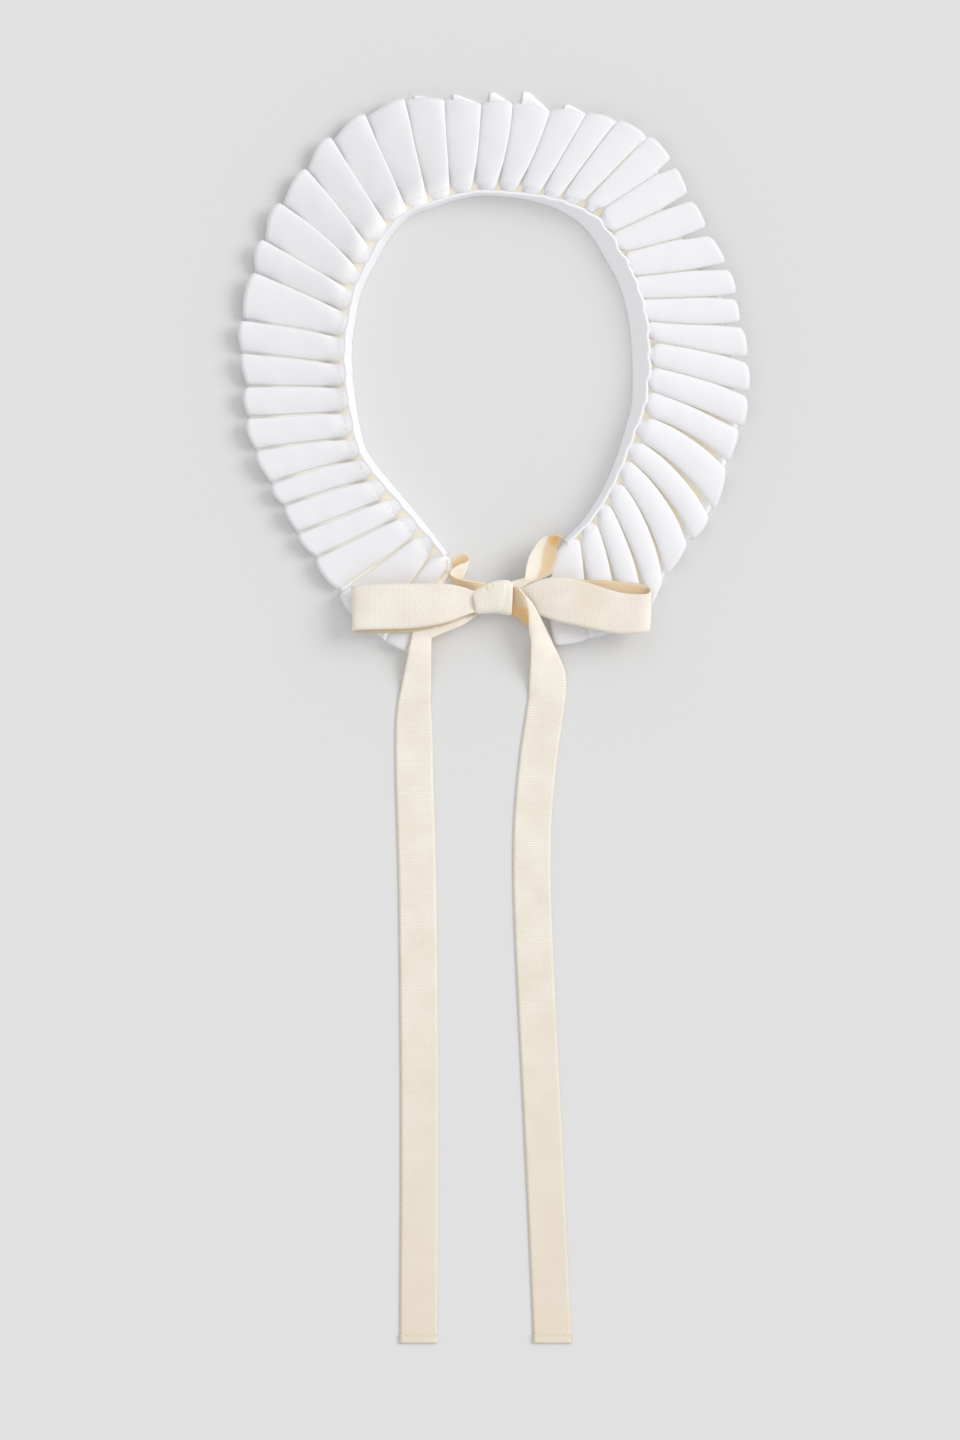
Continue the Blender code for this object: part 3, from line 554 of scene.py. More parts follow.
class Neckband:
    """The folded band that stands round the neck opening and leans outward at its top."""

    def __init__(self):
        sections = columns(smooth_rows(BAND_SECTIONS, BAND_STEPS), BAND_COLUMNS)
        self.foot = np.stack([sections["x"], sections["y"]], axis=1)
        self.lean = sections["lean"]
        self.height = np.sqrt(BAND_WIDTH**2 - self.lean**2)
        along = np.gradient(self.foot, axis=0)
        along /= np.linalg.norm(along, axis=1)[:, None]
        self.outward = np.stack([-along[:, 1], along[:, 0]], axis=1)
        steps = np.linalg.norm(np.diff(self.foot, axis=0), axis=1)
        self.distance = np.concatenate([[0.0], np.cumsum(steps)])
        seams = [self.distance[np.argmin(np.hypot(*(self.foot - line[:2]).T))] for line in LINES]
        self.pleat = np.interp(self.distance, seams, np.arange(len(LINES)))

    def outer_line(self, z):
        """The band's outer face at one height, seen from above."""
        shift = BAND_THICKNESS + self.lean * z / self.height
        return self.foot + self.outward * shift[:, None]

    def seat(self, x, y, z):
        """The place nearest to x, y on the band's outer face at this height."""
        line = self.outer_line(z)
        starts, spans = line[:-1], np.diff(line, axis=0)
        here = np.array([x, y])
        share = np.sum((here - starts) * spans, axis=1) / np.sum(spans**2, axis=1)
        places = starts + spans * np.clip(share, 0.0, 1.0)[:, None]
        return places[np.argmin(np.linalg.norm(places - here, axis=1))]

    def section(self, i):
        """One closed section: across from the inner face outward, and up."""
        half = BAND_THICKNESS / 2
        s, lean, rise = self.distance[i], self.lean[i], self.height[i]
        uneven = wobble(s, 3.0, 0.0, 9.0) + 0.5 * wobble(s, 9.0, 0.0, 3.5)
        ripple = BAND_RIPPLE * wobble(s, 20.0, 0.0, 14.0)
        strength = np.interp(lean, RIDGE_LEANS, (RIDGE_UPRIGHT, 1.0))
        pleat = 2 * math.pi * self.pleat[i]
        wave = 0.6 * uneven + RIDGE_STEP * (math.sin(pleat) - 0.4 * math.sin(2 * pleat))
        points = []
        for share in BAND_INNER_SHARES:
            bow = ripple * math.sin(math.pi * share)
            points.append((lean * share + bow, rise * share))
        ridge = (lean + RIDGE_WAVE * strength * wave * 0.5, rise + 0.25 * strength * wave)
        for turn in RIDGE_ANGLES:
            angle = math.radians(turn)
            reach = half + RIDGE_RADIUS * strength * (0.6 + 0.4 * wave)
            across = ridge[0] + half + math.cos(angle) * reach
            points.append((across, ridge[1] - half + math.sin(angle) * half * RIDGE_TALL))
        for share in BAND_OUTER_SHARES:
            points.append((lean * share + 2 * half, rise * share))
        return points

    def surface(self):
        rings = []
        for i in range(len(self.foot)):
            ring = []
            for across, up in self.section(i):
                spot = self.foot[i] + self.outward[i] * across
                ring.append((spot[0], spot[1], max(up, 0.0)))
            rings.append(ring)
        return np.array(rings)


class Ruffle:
    """The pleated strip: a valley at each whole number of pleats and a flute between two valleys."""

    def __init__(self, band):
        self.band = band
        self.lines = columns(LINES, LINE_COLUMNS)
        self.numbers = np.arange(len(LINES))
        self.seam = np.stack([self.lines["seam_x"], self.lines["seam_y"]], axis=1)
        self.hem = np.stack([self.lines["hem_x"], self.lines["hem_y"]], axis=1)
        self.span = self.hem - self.seam
        self.length = np.linalg.norm(self.span, axis=1)
        self.clockwise = np.stack([self.span[:, 1], -self.span[:, 0]], axis=1) / self.length[:, None]

    def value(self, name, pleat):
        return np.interp(pleat, self.numbers, self.lines[name])

    def line_point(self, k, t):
        """Points on the lines between flutes, t from the seam to the hem."""
        t = np.asarray(t, dtype=float)[..., None]
        bend = self.lines["bend"][k][..., None]
        return self.seam[k] + self.span[k] * t + self.clockwise[k] * bend * 4 * t * (1 - t)

    def place(self, pleat, t):
        """The points seen from above at a pleat count and a share of the length."""
        k = np.clip(np.floor(pleat), 0, len(LINES) - 2).astype(int)
        share = (pleat - k)[..., None]
        return self.line_point(k, t) * (1 - share) + self.line_point(k + 1, t) * share

    def opened(self, k, t):
        """How far the flutes beside line k have parted."""
        start = self.lines["open_from"][k]
        return np.clip((t - start) / (1.0 - start), 0.0, None) * self.lines["gap"][k]

    def slit(self, k, t):
        """The width left between the walls of two flutes at line k."""
        least = LEAST_SLIT + LEAN_SLIT * self.lines["lean"][k]
        opened = self.opened(k, t)
        at_seam = SEAM_SLIT * (1.0 - self.rounded(t))
        return np.maximum(least, opened + CLOTH_THICKNESS) + at_seam

    @staticmethod
    def rounded(t):
        """The quarter circle in which a flute's end turns down to the seam, 0 there and 1 past it."""
        left = 1.0 - ramp(t, 0.0, ROUND_END_SHARE)
        return np.sqrt(1.0 - left**2)

    @staticmethod
    def ease(value, start, stop):
        """A smooth step from 0 to 1 between two values."""
        share = ramp(value, start, stop - start)
        return share * share * (3 - 2 * share)

    @staticmethod
    def profile(phase, roll, under):
        """One upright pleat: its place across and its height, both as shares."""
        valley = (1 + np.cos(2 * np.pi * phase)) / 2
        across = phase + roll * (1 - VALLEY_UNROLL * (1 - under) * valley) * np.sin(4 * np.pi * phase)
        return across, (1 - valley) ** PROFILE_POWER

    def lean_shift(self, roll, lean):
        """How far the lean pushes a flute's clockwise side beyond its upright place."""
        upright, heights = self.profile(np.linspace(0.5, 1.0, LEAN_SAMPLES), roll[..., None], 0.0)
        leaning = upright + lean[..., None] * heights
        return leaning.max(axis=-1) - upright.max(axis=-1)

    def flute(self, k, phases, rows):
        """Flute k's middle surface: its points by phase and row, their painted shade and glow in a fold
        and hem value.
        """
        phase, t = np.meshgrid(phases, rows, indexing="ij")
        near = np.where(phase < 0.5, k, k + 1)
        pleat = k + phase
        this, following = np.full_like(near, k), np.full_like(near, k + 1)
        width = np.linalg.norm(self.line_point(following, t) - self.line_point(this, t), axis=-1)
        cover = 1.0 - self.slit(near, t) / width
        roll = np.minimum(MOST_ROLL, ROLL_AT_COVER + (cover - COVER_AT_ROLL) / COVER_PER_ROLL)
        rounding = self.rounded(t)
        roll = roll * (SEAM_ROLL + (1 - SEAM_ROLL) * rounding)
        full_lean = self.value("lean", pleat)
        lean = full_lean * (SEAM_LEAN + (1 - SEAM_LEAN) * rounding)
        leaning = ramp(lean, 0.0, LEAN_AT_FULL)
        under = self.value("under", pleat) * ramp(t, 0.0, UNDER_FULL_AT)
        unroll = LEAN_UNROLL * (phase < 0.5) * leaning
        upright, height = self.profile(phase, roll * (1.0 - unroll), under)
        across = upright + lean * height - self.lean_shift(roll, lean)
        rise = SEAM_RISE + (self.value("rise", pleat) - SEAM_RISE) * t
        rise = rise * (SEAM_END_RISE + (1 - SEAM_END_RISE) * rounding)
        shut = np.clip(SHUT_GAP - self.lines["gap"][near], 0.0, 1.0) + VALLEY_LIFT_OPEN
        lift = VALLEY_LIFT * shut * self.ease(t, *LIFT_STARTS) * (1 - self.ease(t, *LIFT_STOPS))
        inside = np.clip(upright, 0.0, 1.0)
        tilt = SHINGLE_TILT * ramp(lean, 0.0, 0.5) * (1.0 - inside) ** TILT_POWER
        z = CLOTH_THICKNESS / 2 + (rise - CLOTH_THICKNESS) * (lift + (1 - lift) * height) * (1 - tilt)
        valley = (1 - height) ** 2
        share = np.abs(2 * inside**BULGE_SKEW - 1)
        corner = SQUARE_CORNER + (ROUND_CORNER - SQUARE_CORNER) * ramp(full_lean, 0.0, LEAN_AT_FULL)
        bulge = self.lines["bulge"][k] * (1 - share**corner) * height
        setback = WALL_SETBACK * 4 * height * (1 - height)
        notch = self.value("notch", pleat)
        side = np.where(phase < 0.5, upright, upright - 1.0)
        slant = np.clip(HEM_SLANT_FROM - HEM_SLANT * side, 0.0, HEM_SLANT_MOST)
        slant = np.where(notch < 0, slant, 1.0)
        step = self.lines["step"][k] * (1.0 - inside) * height
        reach = bulge + step - notch * slant * valley - setback
        along = t + reach / self.length[k] * t**HEM_EASE
        x, y = np.moveaxis(self.place(k + across, along), -1, 0)
        points = np.stack([x, y, z], axis=-1)
        if k == 0:
            shift = self.end_shift("flute", t) * ramp(-phase, -END_SHIFT_TO, END_SHIFT_EASE)
            points[..., :2] -= self.clockwise[0] * shift[..., None]
        for i in range(len(phases)):
            spot = self.band.seat(*points[i, 0])
            points[i, 0, :2] = spot
            points[i, 1, :2] = (points[i, 1, :2] + points[i, 2, :2] + spot) / 3
        # Painted shade and glow by depth in a fold: less in the closed valleys of leaning flutes, more
        # where flutes have parted.
        closed = 1.0 - SHINGLE_SHADE * leaning * self.ease(t, *SHADE_STARTS)
        painted_shade_and_glow = (1.0 - height) * closed * (1.0 + OPEN_EXTRA_PAINTED_SHADE * np.clip(self.opened(near, t), 0.0, 1.0))
        # Painted glow at flute ends by the seam on the collar's shaded side, where the band's shadow
        # falls; stored as a hem value below 0.
        shaded = ramp(SHADED_FROM_X - points[..., 0], 0.0, SHADED_EASE)
        painted_seam_end_glow = shaded * (1.0 - ramp(t, 0.0, SEAM_LIT_SHARE)) ** SEAM_LIT_POWER * height
        return points, painted_shade_and_glow, self.ease(t, *HEM_LIT) - painted_seam_end_glow

    def surface(self, first, last):
        """The cloth's middle from one valley to another and its painted fold shade and glow."""
        phases = np.arange(PLEAT_PHASES) / PLEAT_PHASES
        rows = np.concatenate([SEAM_ROWS, np.linspace(SEAM_ROWS[-1], 1.0, HEM_ROWS + 1)[1:]])
        parts = [self.flute(k, phases, rows) for k in range(first, last)]
        parts.append(self.flute(last - 1, np.array([1.0]), rows))
        if first == 0:
            parts.insert(0, self.end_tab(parts[0], rows))
            parts[1][1][:OPEN_END_COLUMNS] *= ramp(rows, END_LIT_TO, END_LIT_EASE)
        grid, painted_shade_and_glow, hem = (np.concatenate(values) for values in zip(*parts))
        if last == len(LINES) - 1:
            painted_shade_and_glow[-OPEN_END_COLUMNS:] = 0.0
        return self.soften(grid, rows), painted_shade_and_glow, hem

    def end_shift(self, name, t):
        """How far a part of the strip's left end stands out past the first line."""
        ends = columns(END_SECTIONS, END_COLUMNS)
        return np.interp(t, ends["share"], ends[name])

    def end_tab(self, flute, rows):
        """The strip's turned end beside its first flute: a narrow fold and a small flap."""
        valley, _, hem = (values[:1] for values in flute)
        edge, fold, flap = (self.end_shift(name, rows) for name in ("flute", "fold", "flap"))
        opened = ramp(fold - edge, 0.0, END_OPEN_FULL)
        parts = (
            (flap, -END_FLAP_DROP * opened),
            (fold, END_FOLD_RISE * opened),
            (np.maximum(fold - END_FOLD_WIDTH, edge), 0.0),
        )
        lines = []
        for shift, rise in parts:
            line = valley.copy()
            line[0, :, :2] -= self.clockwise[0] * (shift - edge)[:, None]
            line[0, :, 2] += rise
            lines.append(line)
        painted_shade_and_glow = np.zeros((3, len(rows)))
        painted_shade_and_glow[2] = ramp(rows, END_LIT_TO, END_LIT_EASE)
        return np.concatenate(lines), painted_shade_and_glow, np.repeat(hem, 3, axis=0)

    def soften(self, grid, rows):
        """The small unevenness of hand-set flutes: slight sways, dents and puckers at the seam."""
        for line in grid:
            for j, t in enumerate(rows):
                x, y, z = line[j]
                free = min(1.0, z / FREE_ABOVE)
                sway = SWAY * wobble(x, y, 2.0, SWAY_SIZE)
                dent = DENT * wobble(x, y, 31.0, DENT_SIZE)
                pucker = PUCKER * wobble(x, y, z, PUCKER_SIZE) * max(0.0, 1.0 - t / PUCKER_TO)
                line[j] += np.array([sway * t, sway * t, dent + pucker]) * free
        return grid


def add_mesh(name, verts, faces, materials):
    mesh = bpy.data.meshes.new(name)
    shift = np.array([CENTRE_X, CENTRE_Y, 0.0])
    mesh.from_pydata(((np.asarray(verts, dtype=float).reshape(-1, 3) + shift) * MM).tolist(), [], faces)
    for material in materials:
        mesh.materials.append(material)
    thing = bpy.data.objects.new(name, mesh)
    bpy.context.scene.collection.objects.link(thing)
    return thing


def grid_faces(across, along, closed=False):
    faces = []
    for i in range(across - 1):
        for j in range(along if closed else along - 1):
            a, b = i * along + j, i * along + (j + 1) % along
            faces.append((a, b, b + along, a + along))
    return faces


def add_cloth_map(thing, grid):
    """A UV map in millimetres over a grid of points: across its columns and along its rows."""
    steps = np.linalg.norm(np.diff(grid, axis=0), axis=2).mean(axis=1)
    down = np.linalg.norm(np.diff(grid, axis=1), axis=2).mean(axis=0)
    u = np.concatenate([[0.0], np.cumsum(steps)])
    v = np.concatenate([[0.0], np.cumsum(down)])
    layer = thing.data.uv_layers.new(name="cloth")
    rows = grid.shape[1]
    for loop in thing.data.loops:
        i, j = divmod(loop.vertex_index, rows)
        layer.data[loop.index].uv = (u[i], v[j])


def add_point_value(thing, name, values):
    attribute = thing.data.attributes.new(name, "FLOAT", "POINT")
    attribute.data.foreach_set("value", np.asarray(values, dtype=np.float32).ravel())


def apply_modifiers(thing):
    graph = bpy.context.evaluated_depsgraph_get()
    solid = bpy.data.meshes.new_from_object(thing.evaluated_get(graph))
    thing.modifiers.clear()
    thing.data = solid


def add_sheet(name, grid, thickness, materials, painted_shade_and_glow=None, hem=None):
    """An open cloth surface through a grid of points, given its real thickness."""
    thing = add_mesh(name, grid, grid_faces(*grid.shape[:2]), materials)
    add_cloth_map(thing, grid)
    for label, values in (("painted_shade_and_glow", painted_shade_and_glow), ("hem", hem)):
        if values is not None:
            add_point_value(thing, label, values)
    thicken = thing.modifiers.new("cloth", "SOLIDIFY")
    thicken.thickness = thickness * MM
    thicken.offset = 0.0
    thicken.material_offset = len(materials) - 1
    apply_modifiers(thing)
    for vertex in thing.data.vertices:
        vertex.co.z = max(vertex.co.z, 0.0)
    thing.data.shade_smooth()
    return thing


def line_x(line, y):
    """The x of a line of points at each y."""
    xs, ys = np.array(line).T
    order = np.argsort(ys)
    return np.interp(y, ys[order], xs[order])


def tape_painted_shade_and_glow(name, grid):
    """The painted shade at each point of a tape: 1 deep inside a fold, below 0 a painted glow."""
    x, y = grid[..., 0], grid[..., 1]
    share = np.linspace(0.0, 1.0, len(grid))[:, None]
    across = np.linspace(0.0, 1.0, grid.shape[1])[None, :]
    # Painted glow on the tails' upper parts, fading out lower down.
    front = -TAIL_LIT * ramp(y, TAIL_LIT_TO, TAIL_LIT_EASE)
    if name == "right_lead":
        reach = np.hypot(x - LEAD_CURL[0], (y - LEAD_CURL[1]) * LEAD_CURL_FLAT)
        curl = LEAD_CURL_PAINTED_SHADE - reach / LEAD_CURL_REACH
        inside = ramp(x, line_x(LEAD_LIT_EDGE, y), LEAD_SHADE_EASE) * (y > LEAD_LIT_EDGE[0][1])
        rim = ramp(across, *LEAD_RIM) * ramp(share, *LEAD_RIM_STARTS)
        deep = np.clip(np.maximum(curl, LEAD_SHADE * inside), 0.0, 1.0) * inside * (1 - rim)
        return np.where(deep > LEAST_SHADE, deep, -LEAD_LIT)
    if name == "right_tail":
        inside = ramp(line_x(TAIL_FOLD, y), x, TAIL_FOLD_EASE) * (y > TAIL_FOLD[0][1] - TAIL_FOLD_BELOW)
        shade = np.where(y < TAIL_FOLD_SLIT, TAIL_SLIT_SHADE, TAIL_FOLD_SHADE)
        return np.where(inside > LEAST_SHADE, inside * shade, front)
    if name == "left_tail":
        low = np.interp(x, *np.array(LOOP_LOW_EDGE).T)
        sliver = SLIVER_SHADE * (1.0 - ramp(low, y, SLIVER_EASE)) * (share < SLIVER_TO)
        return np.where(sliver > LEAST_SHADE, sliver, front)
    if name == "left_lead":
        return np.full(grid.shape[:2], -LEFT_LEAD_LIT)
    if name == "right_bow_loop":
        place = x - LOOP_SHADE_AT + LOOP_SHADE_SLANT * y
        return LOOP_SOFT_SHADE * np.exp(-((place / LOOP_SHADE_WIDTH) ** 2))
    return np.zeros(grid.shape[:2])


def tape_grid(rows):
    """A tape's middle surface through its table's rows, crowned across its width."""
    edges = columns(smooth_rows(rows, TAPE_STEPS), TAPE_COLUMNS)
    near = np.column_stack([edges["a_x"], edges["a_y"], edges["a_z"]])
    far = np.column_stack([edges["b_x"], edges["b_y"], edges["b_z"]])
    middle = (near + far) / 2
    along = np.gradient(middle, axis=0)
    normal = np.cross(along, far - near)
    normal /= np.linalg.norm(normal, axis=1)[:, None]
    shares = np.linspace(0.0, 1.0, TAPE_ACROSS + 1)
    grid = []
    for i in range(len(middle)):
        line = []
        for share in shares:
            crown = edges["belly"][i] * math.sin(math.pi * share)
            spot = near[i] + (far[i] - near[i]) * share + normal[i] * crown
            free = min(1.0, max(0.0, spot[2] - TAPE_FREE_ABOVE) / TAPE_FREE_EASE)
            spot[2] += TAPE_SWAY * free * wobble(*spot, TAPE_SWAY_SIZE)
            line.append(spot)
        grid.append(line)
    return np.array(grid)


def ring_faces(rings, sides):
    """Faces round a loft of closed rings, with both ends shut."""
    faces = grid_faces(rings, sides, closed=True)
    faces.append(tuple(reversed(range(sides))))
    faces.append(tuple(range((rings - 1) * sides, rings * sides)))
    return faces


def turn_outward(thing):
    work = bmesh.new()
    work.from_mesh(thing.data)
    bmesh.ops.recalc_face_normals(work, faces=work.faces)
    work.to_mesh(thing.data)
    work.free()
    thing.data.shade_smooth()


def add_loft(name, rings, materials):
    """A closed piece lofted through closed rings of points."""
    thing = add_mesh(name, rings, ring_faces(*rings.shape[:2]), materials)
    add_cloth_map(thing, rings)
    turn_outward(thing)
    return thing


def knot_rings():
    """The knot's rings: rounded rectangles with a soft slanting crease and a pucker by its corner."""
    sections = columns(smooth_rows(KNOT_SECTIONS, KNOT_STEPS), KNOT_COLUMNS)
    rings = []
    for i, x in enumerate(sections["x"]):
        low, high = sections["low_y"][i], sections["high_y"][i]
        bottom, top = sections["bottom"][i], sections["top"][i]
        ring = []
        for angle in np.linspace(0.0, 2 * np.pi, KNOT_SIDES, endpoint=False):
            c, s = math.cos(angle), math.sin(angle)
            y = (low + high) / 2 + (high - low) / 2 * math.copysign(abs(c) ** KNOT_SQUARENESS, c)
            z = (bottom + top) / 2 + (top - bottom) / 2 * math.copysign(abs(s) ** KNOT_SQUARENESS, s)
            share = (y - low) / (high - low)
            flare = x * (1 + share * (KNOT_FLARE_LEFT if x < 0 else KNOT_FLARE_RIGHT))
            facing = max(0.0, s)
            crease_x = CREASE_LOW[0] + (y - CREASE_LOW[1]) * CREASE_SLANT
            z -= facing * CREASE_DEPTH * math.exp(-(((flare - crease_x) / CREASE_WIDTH) ** 2))
            for dent_x, dent_y, reach, size in KNOT_DENTS:
                z -= facing * size * math.exp(-((flare - dent_x) ** 2 + (y - dent_y) ** 2) / reach**2)
            z += facing * KNOT_UNEVEN * wobble(x, y, 5.0, KNOT_UNEVEN_SIZE)
            ring.append((flare, y, z))
        rings.append(ring)
    return np.array(rings)


def stitch_rings(middle, along, up):
    """One short thread stitch: a thin rounded bar lying on the cloth."""
    along = along / np.linalg.norm(along)
    side = np.cross(up, along)
    side /= np.linalg.norm(side)
    rise = np.cross(along, side)
    angles = np.linspace(0.0, 2 * np.pi, STITCH_SIDES, endpoint=False)
    rings = []
    for share, size in STITCH_PROFILE:
        centre = middle + along * STITCH_LENGTH * share
        radius = STITCH_RADIUS * size
        rings.append([centre + (side * math.cos(a) + rise * math.sin(a)) * radius for a in angles])
    return np.array(rings)


def add_stitches(name, stitches, material):
    """One piece of many short stitches, each given by its middle, its direction and its up."""
    verts, faces = [], []
    for middle, along, up in stitches:
        rings = stitch_rings(middle, along, up)
        start = len(verts)
        verts.extend(rings.reshape(-1, 3))
        faces.extend([tuple(start + i for i in face) for face in ring_faces(*rings.shape[:2])])
    thing = add_mesh(name, verts, faces, [material])
    turn_outward(thing)
    return thing


def seam_stitches(ruffle):
    """The gathering stitches that show on each flute just outside the neckband."""
    stitches = []
    rows = np.array(SEAM_ROWS)
    for k in range(len(LINES) - 1):
        points, _, _ = ruffle.flute(k, np.array(SEAM_STITCH_PHASES), rows)
        row = int(np.argmin(np.abs(rows - SEAM_STITCH_SHARE)))
        for i in range(len(SEAM_STITCH_PHASES) - 1):
            middle = (points[i, row] + points[i + 1, row]) / 2
            along = points[i, row + 1] - points[i, row - 1]
            across = points[i + 1, row] - points[i, row]
            up = np.cross(across, along)
            up *= np.sign(up[2]) / np.linalg.norm(up)
            lift = up * (CLOTH_THICKNESS / 2 + STITCH_RADIUS * STITCH_LIFT)
            stitches.append((middle + lift, across, up))
    return stitches


def add_tail_hem(name, grid, material):
    """The tail's end turned over and sewn down: a doubled strip across the tape."""
    length = np.linalg.norm(np.diff(grid.mean(axis=1), axis=0), axis=1)[::-1].cumsum()
    rows = int(np.searchsorted(length, TAIL_HEM)) + 1
    end, start = grid[-1], grid[-1 - rows]
    share = TAIL_HEM / np.linalg.norm(end.mean(axis=0) - start.mean(axis=0))
    lift = np.array([0.0, 0.0, TAPE_THICKNESS])
    lines = [end + (start - end) * share * s + lift for s in HEM_FOLD_SHARES]
    return add_sheet(name, np.array(lines), TAPE_THICKNESS * HEM_FOLD_THICKNESS, [material])


def hem_stitches(grid):
    """A row of small stitches across the turned-over end of a tail."""
    end, before = grid[-1], grid[-3]
    toward = before.mean(axis=0) - end.mean(axis=0)
    toward /= np.linalg.norm(toward)
    up = np.array([0.0, 0.0, 1.0])
    stitches = []
    for share in np.linspace(*HEM_STITCH_SPAN, TAIL_HEM_STITCHES):
        spot = end[0] + (end[-1] - end[0]) * share + toward * (TAIL_HEM - HEM_STITCH_INSET)
        spot = spot + up * (TAPE_THICKNESS * HEM_STITCH_HEIGHT + STITCH_RADIUS * STITCH_LIFT)
        stitches.append((spot, end[-1] - end[0], up))
    return stitches


class Shader:
    """A material and short ways to add and join its nodes."""

    def __init__(self, name):
        self.material = bpy.data.materials.new(name)
        self.material.use_nodes = True
        self.tree = self.material.node_tree
        self.surface = self.tree.nodes["Principled BSDF"]

    def add(self, kind, **inputs):
        node = self.tree.nodes.new(kind)
        for name, value in inputs.items():
            self.feed(node, name.replace("_", " "), value)
        return node

    def feed(self, node, place, value):
        """A fixed value or a link into a node's input, by its name or its number."""
        socket = node.inputs[place]
        if isinstance(value, bpy.types.NodeSocket):
            self.tree.links.new(value, socket)
        else:
            socket.default_value = value

    def maths(self, operation, *values):
        node = self.tree.nodes.new("ShaderNodeMath")
        node.operation = operation
        for i, value in enumerate(values):
            self.feed(node, i, value)
        return node.outputs[0]

    def mix(self, factor, first, second):
        node = self.tree.nodes.new("ShaderNodeMix")
        node.data_type = "RGBA"
        for i, value in ((0, factor), (6, first), (7, second)):
            self.feed(node, i, value)
        return node.outputs[2]

    def spread(self, value, low, high, new_low=0.0, new_high=1.0):
        """A value moved from one range to another and held inside it."""
        node = self.add("ShaderNodeMapRange", Value=value)
        ends = {"From Min": low, "From Max": high, "To Min": new_low, "To Max": new_high}
        for name, number in ends.items():
            self.feed(node, name, number)
        return node.outputs["Result"]

    def point_value(self, name):
        """A value that is stored at the cloth's points."""
        node = self.add("ShaderNodeAttribute")
        node.attribute_name = name
        return node.outputs["Fac"]

    def object_place(self):
        return self.add("ShaderNodeTexCoord").outputs["Object"]

    def cloth_map(self):
        """The position on the flat cloth in millimetres."""
        node = self.add("ShaderNodeUVMap")
        node.uv_map = "cloth"
        apart = self.add("ShaderNodeSeparateXYZ", Vector=node.outputs["UV"])
        return node.outputs["UV"], apart.outputs["X"], apart.outputs["Y"]

    def wave(self, value, pitch):
        """A sine from 0 to 1 along a length with the given pitch."""
        sine = self.maths("SINE", self.maths("MULTIPLY", value, 2 * math.pi / pitch))
        return self.maths("MULTIPLY_ADD", sine, 0.5, 0.5)

    def bump(self, height, distance, strength, under=None):
        node = self.add("ShaderNodeBump", Height=height)
        node.inputs["Distance"].default_value = distance * MM
        node.inputs["Strength"].default_value = strength
        if under is not None:
            self.tree.links.new(under, node.inputs["Normal"])
        return node.outputs["Normal"]

    def noise(self, vector, scale, detail=3.0):
        node = self.add("ShaderNodeTexNoise", Vector=vector)
        node.inputs["Scale"].default_value = scale
        node.inputs["Detail"].default_value = detail
        return node.outputs["Fac"]


def plain_weave(shader, pitch):
    """The over and under of threads in both directions, uneven as spun thread is."""
    place, across, along = shader.cloth_map()
    warp = shader.wave(across, pitch)
    weft = shader.wave(along, pitch)
    checks = shader.maths("MULTIPLY", warp, weft)
    slub = shader.noise(place, 0.8 / pitch)
    return shader.maths("MULTIPLY_ADD", slub, 0.6, checks)


def poplin_material(name, white, shade, painted_hollow_shade, painted_glow, painted_glow_range):
    """Crisp white poplin: cool on the crests; painted cream shade and glow in deep folds."""
    shader = Shader(name)
    weave = plain_weave(shader, POPLIN_THREAD)
    fold = shader.point_value("painted_shade_and_glow")
    hem = shader.point_value("hem")
    rough = shader.object_place()
    patches = shader.noise(rough, 60.0)
    # Painted shade by depth in a fold: lighter on the flutes' sides, cream deep in, warmer cream where
    # flutes part, fading at the hem.
    uneven = shader.maths("MULTIPLY_ADD", shader.maths("SUBTRACT", patches, 0.5), 0.12, fold)
    side = shader.mix(shader.spread(uneven, 0.5, 0.8), white, shade)
    with_painted_inner_shade = shader.mix(shader.spread(uneven, 0.45, 0.9), side, painted_hollow_shade)
    colour = shader.mix(shader.spread(uneven, 0.95, 1.0 + OPEN_EXTRA_PAINTED_SHADE), with_painted_inner_shade, POPLIN_PAINTED_CREVICE_SHADE)
    open_cloth = shader.mix(hem, colour, white)
    thread = shader.mix(shader.spread(weave, 0.0, 1.2, 0.0, 0.05), open_cloth, painted_hollow_shade)
    creases = shader.noise(rough, 140.0, 4.0)
    soft = shader.bump(creases, 0.35, 0.25)
    shader.feed(shader.surface, "Normal", shader.bump(weave, 0.04, 0.35, soft))
    shader.feed(shader.surface, "Base Color", thread)
    shader.feed(shader.surface, "Roughness", shader.spread(patches, 0.3, 0.7, 0.72, 0.82))
    # Painted glow: cream in deep folds, white at the hem, weaker where flutes have parted.
    lit = shader.mix(shader.maths("ABSOLUTE", hem), painted_glow, white)
    shader.feed(shader.surface, "Emission Color", lit)
    painted_fold_glow = shader.spread(fold, 0.5, 1.0, *painted_glow_range)
    less_glow_in_gaps = shader.spread(fold, 1.0, 1.0 + OPEN_EXTRA_PAINTED_SHADE, 0.0, 0.7 * painted_glow_range[1])
    # Painted glow at the flutes' seam ends, where the hem value is below 0.
    painted_seam_end_glow = shader.spread(hem, -1.0, 0.0, SEAM_PAINTED_GLOW_STRENGTH, 0.0)
    strength = shader.maths("ADD", shader.maths("SUBTRACT", painted_fold_glow, less_glow_in_gaps), painted_seam_end_glow)
    shader.feed(shader.surface, "Emission Strength", strength)
    shader.surface.inputs["Sheen Weight"].default_value = 0.08
    shader.surface.inputs["Specular IOR Level"].default_value = 0.3
    return shader.material


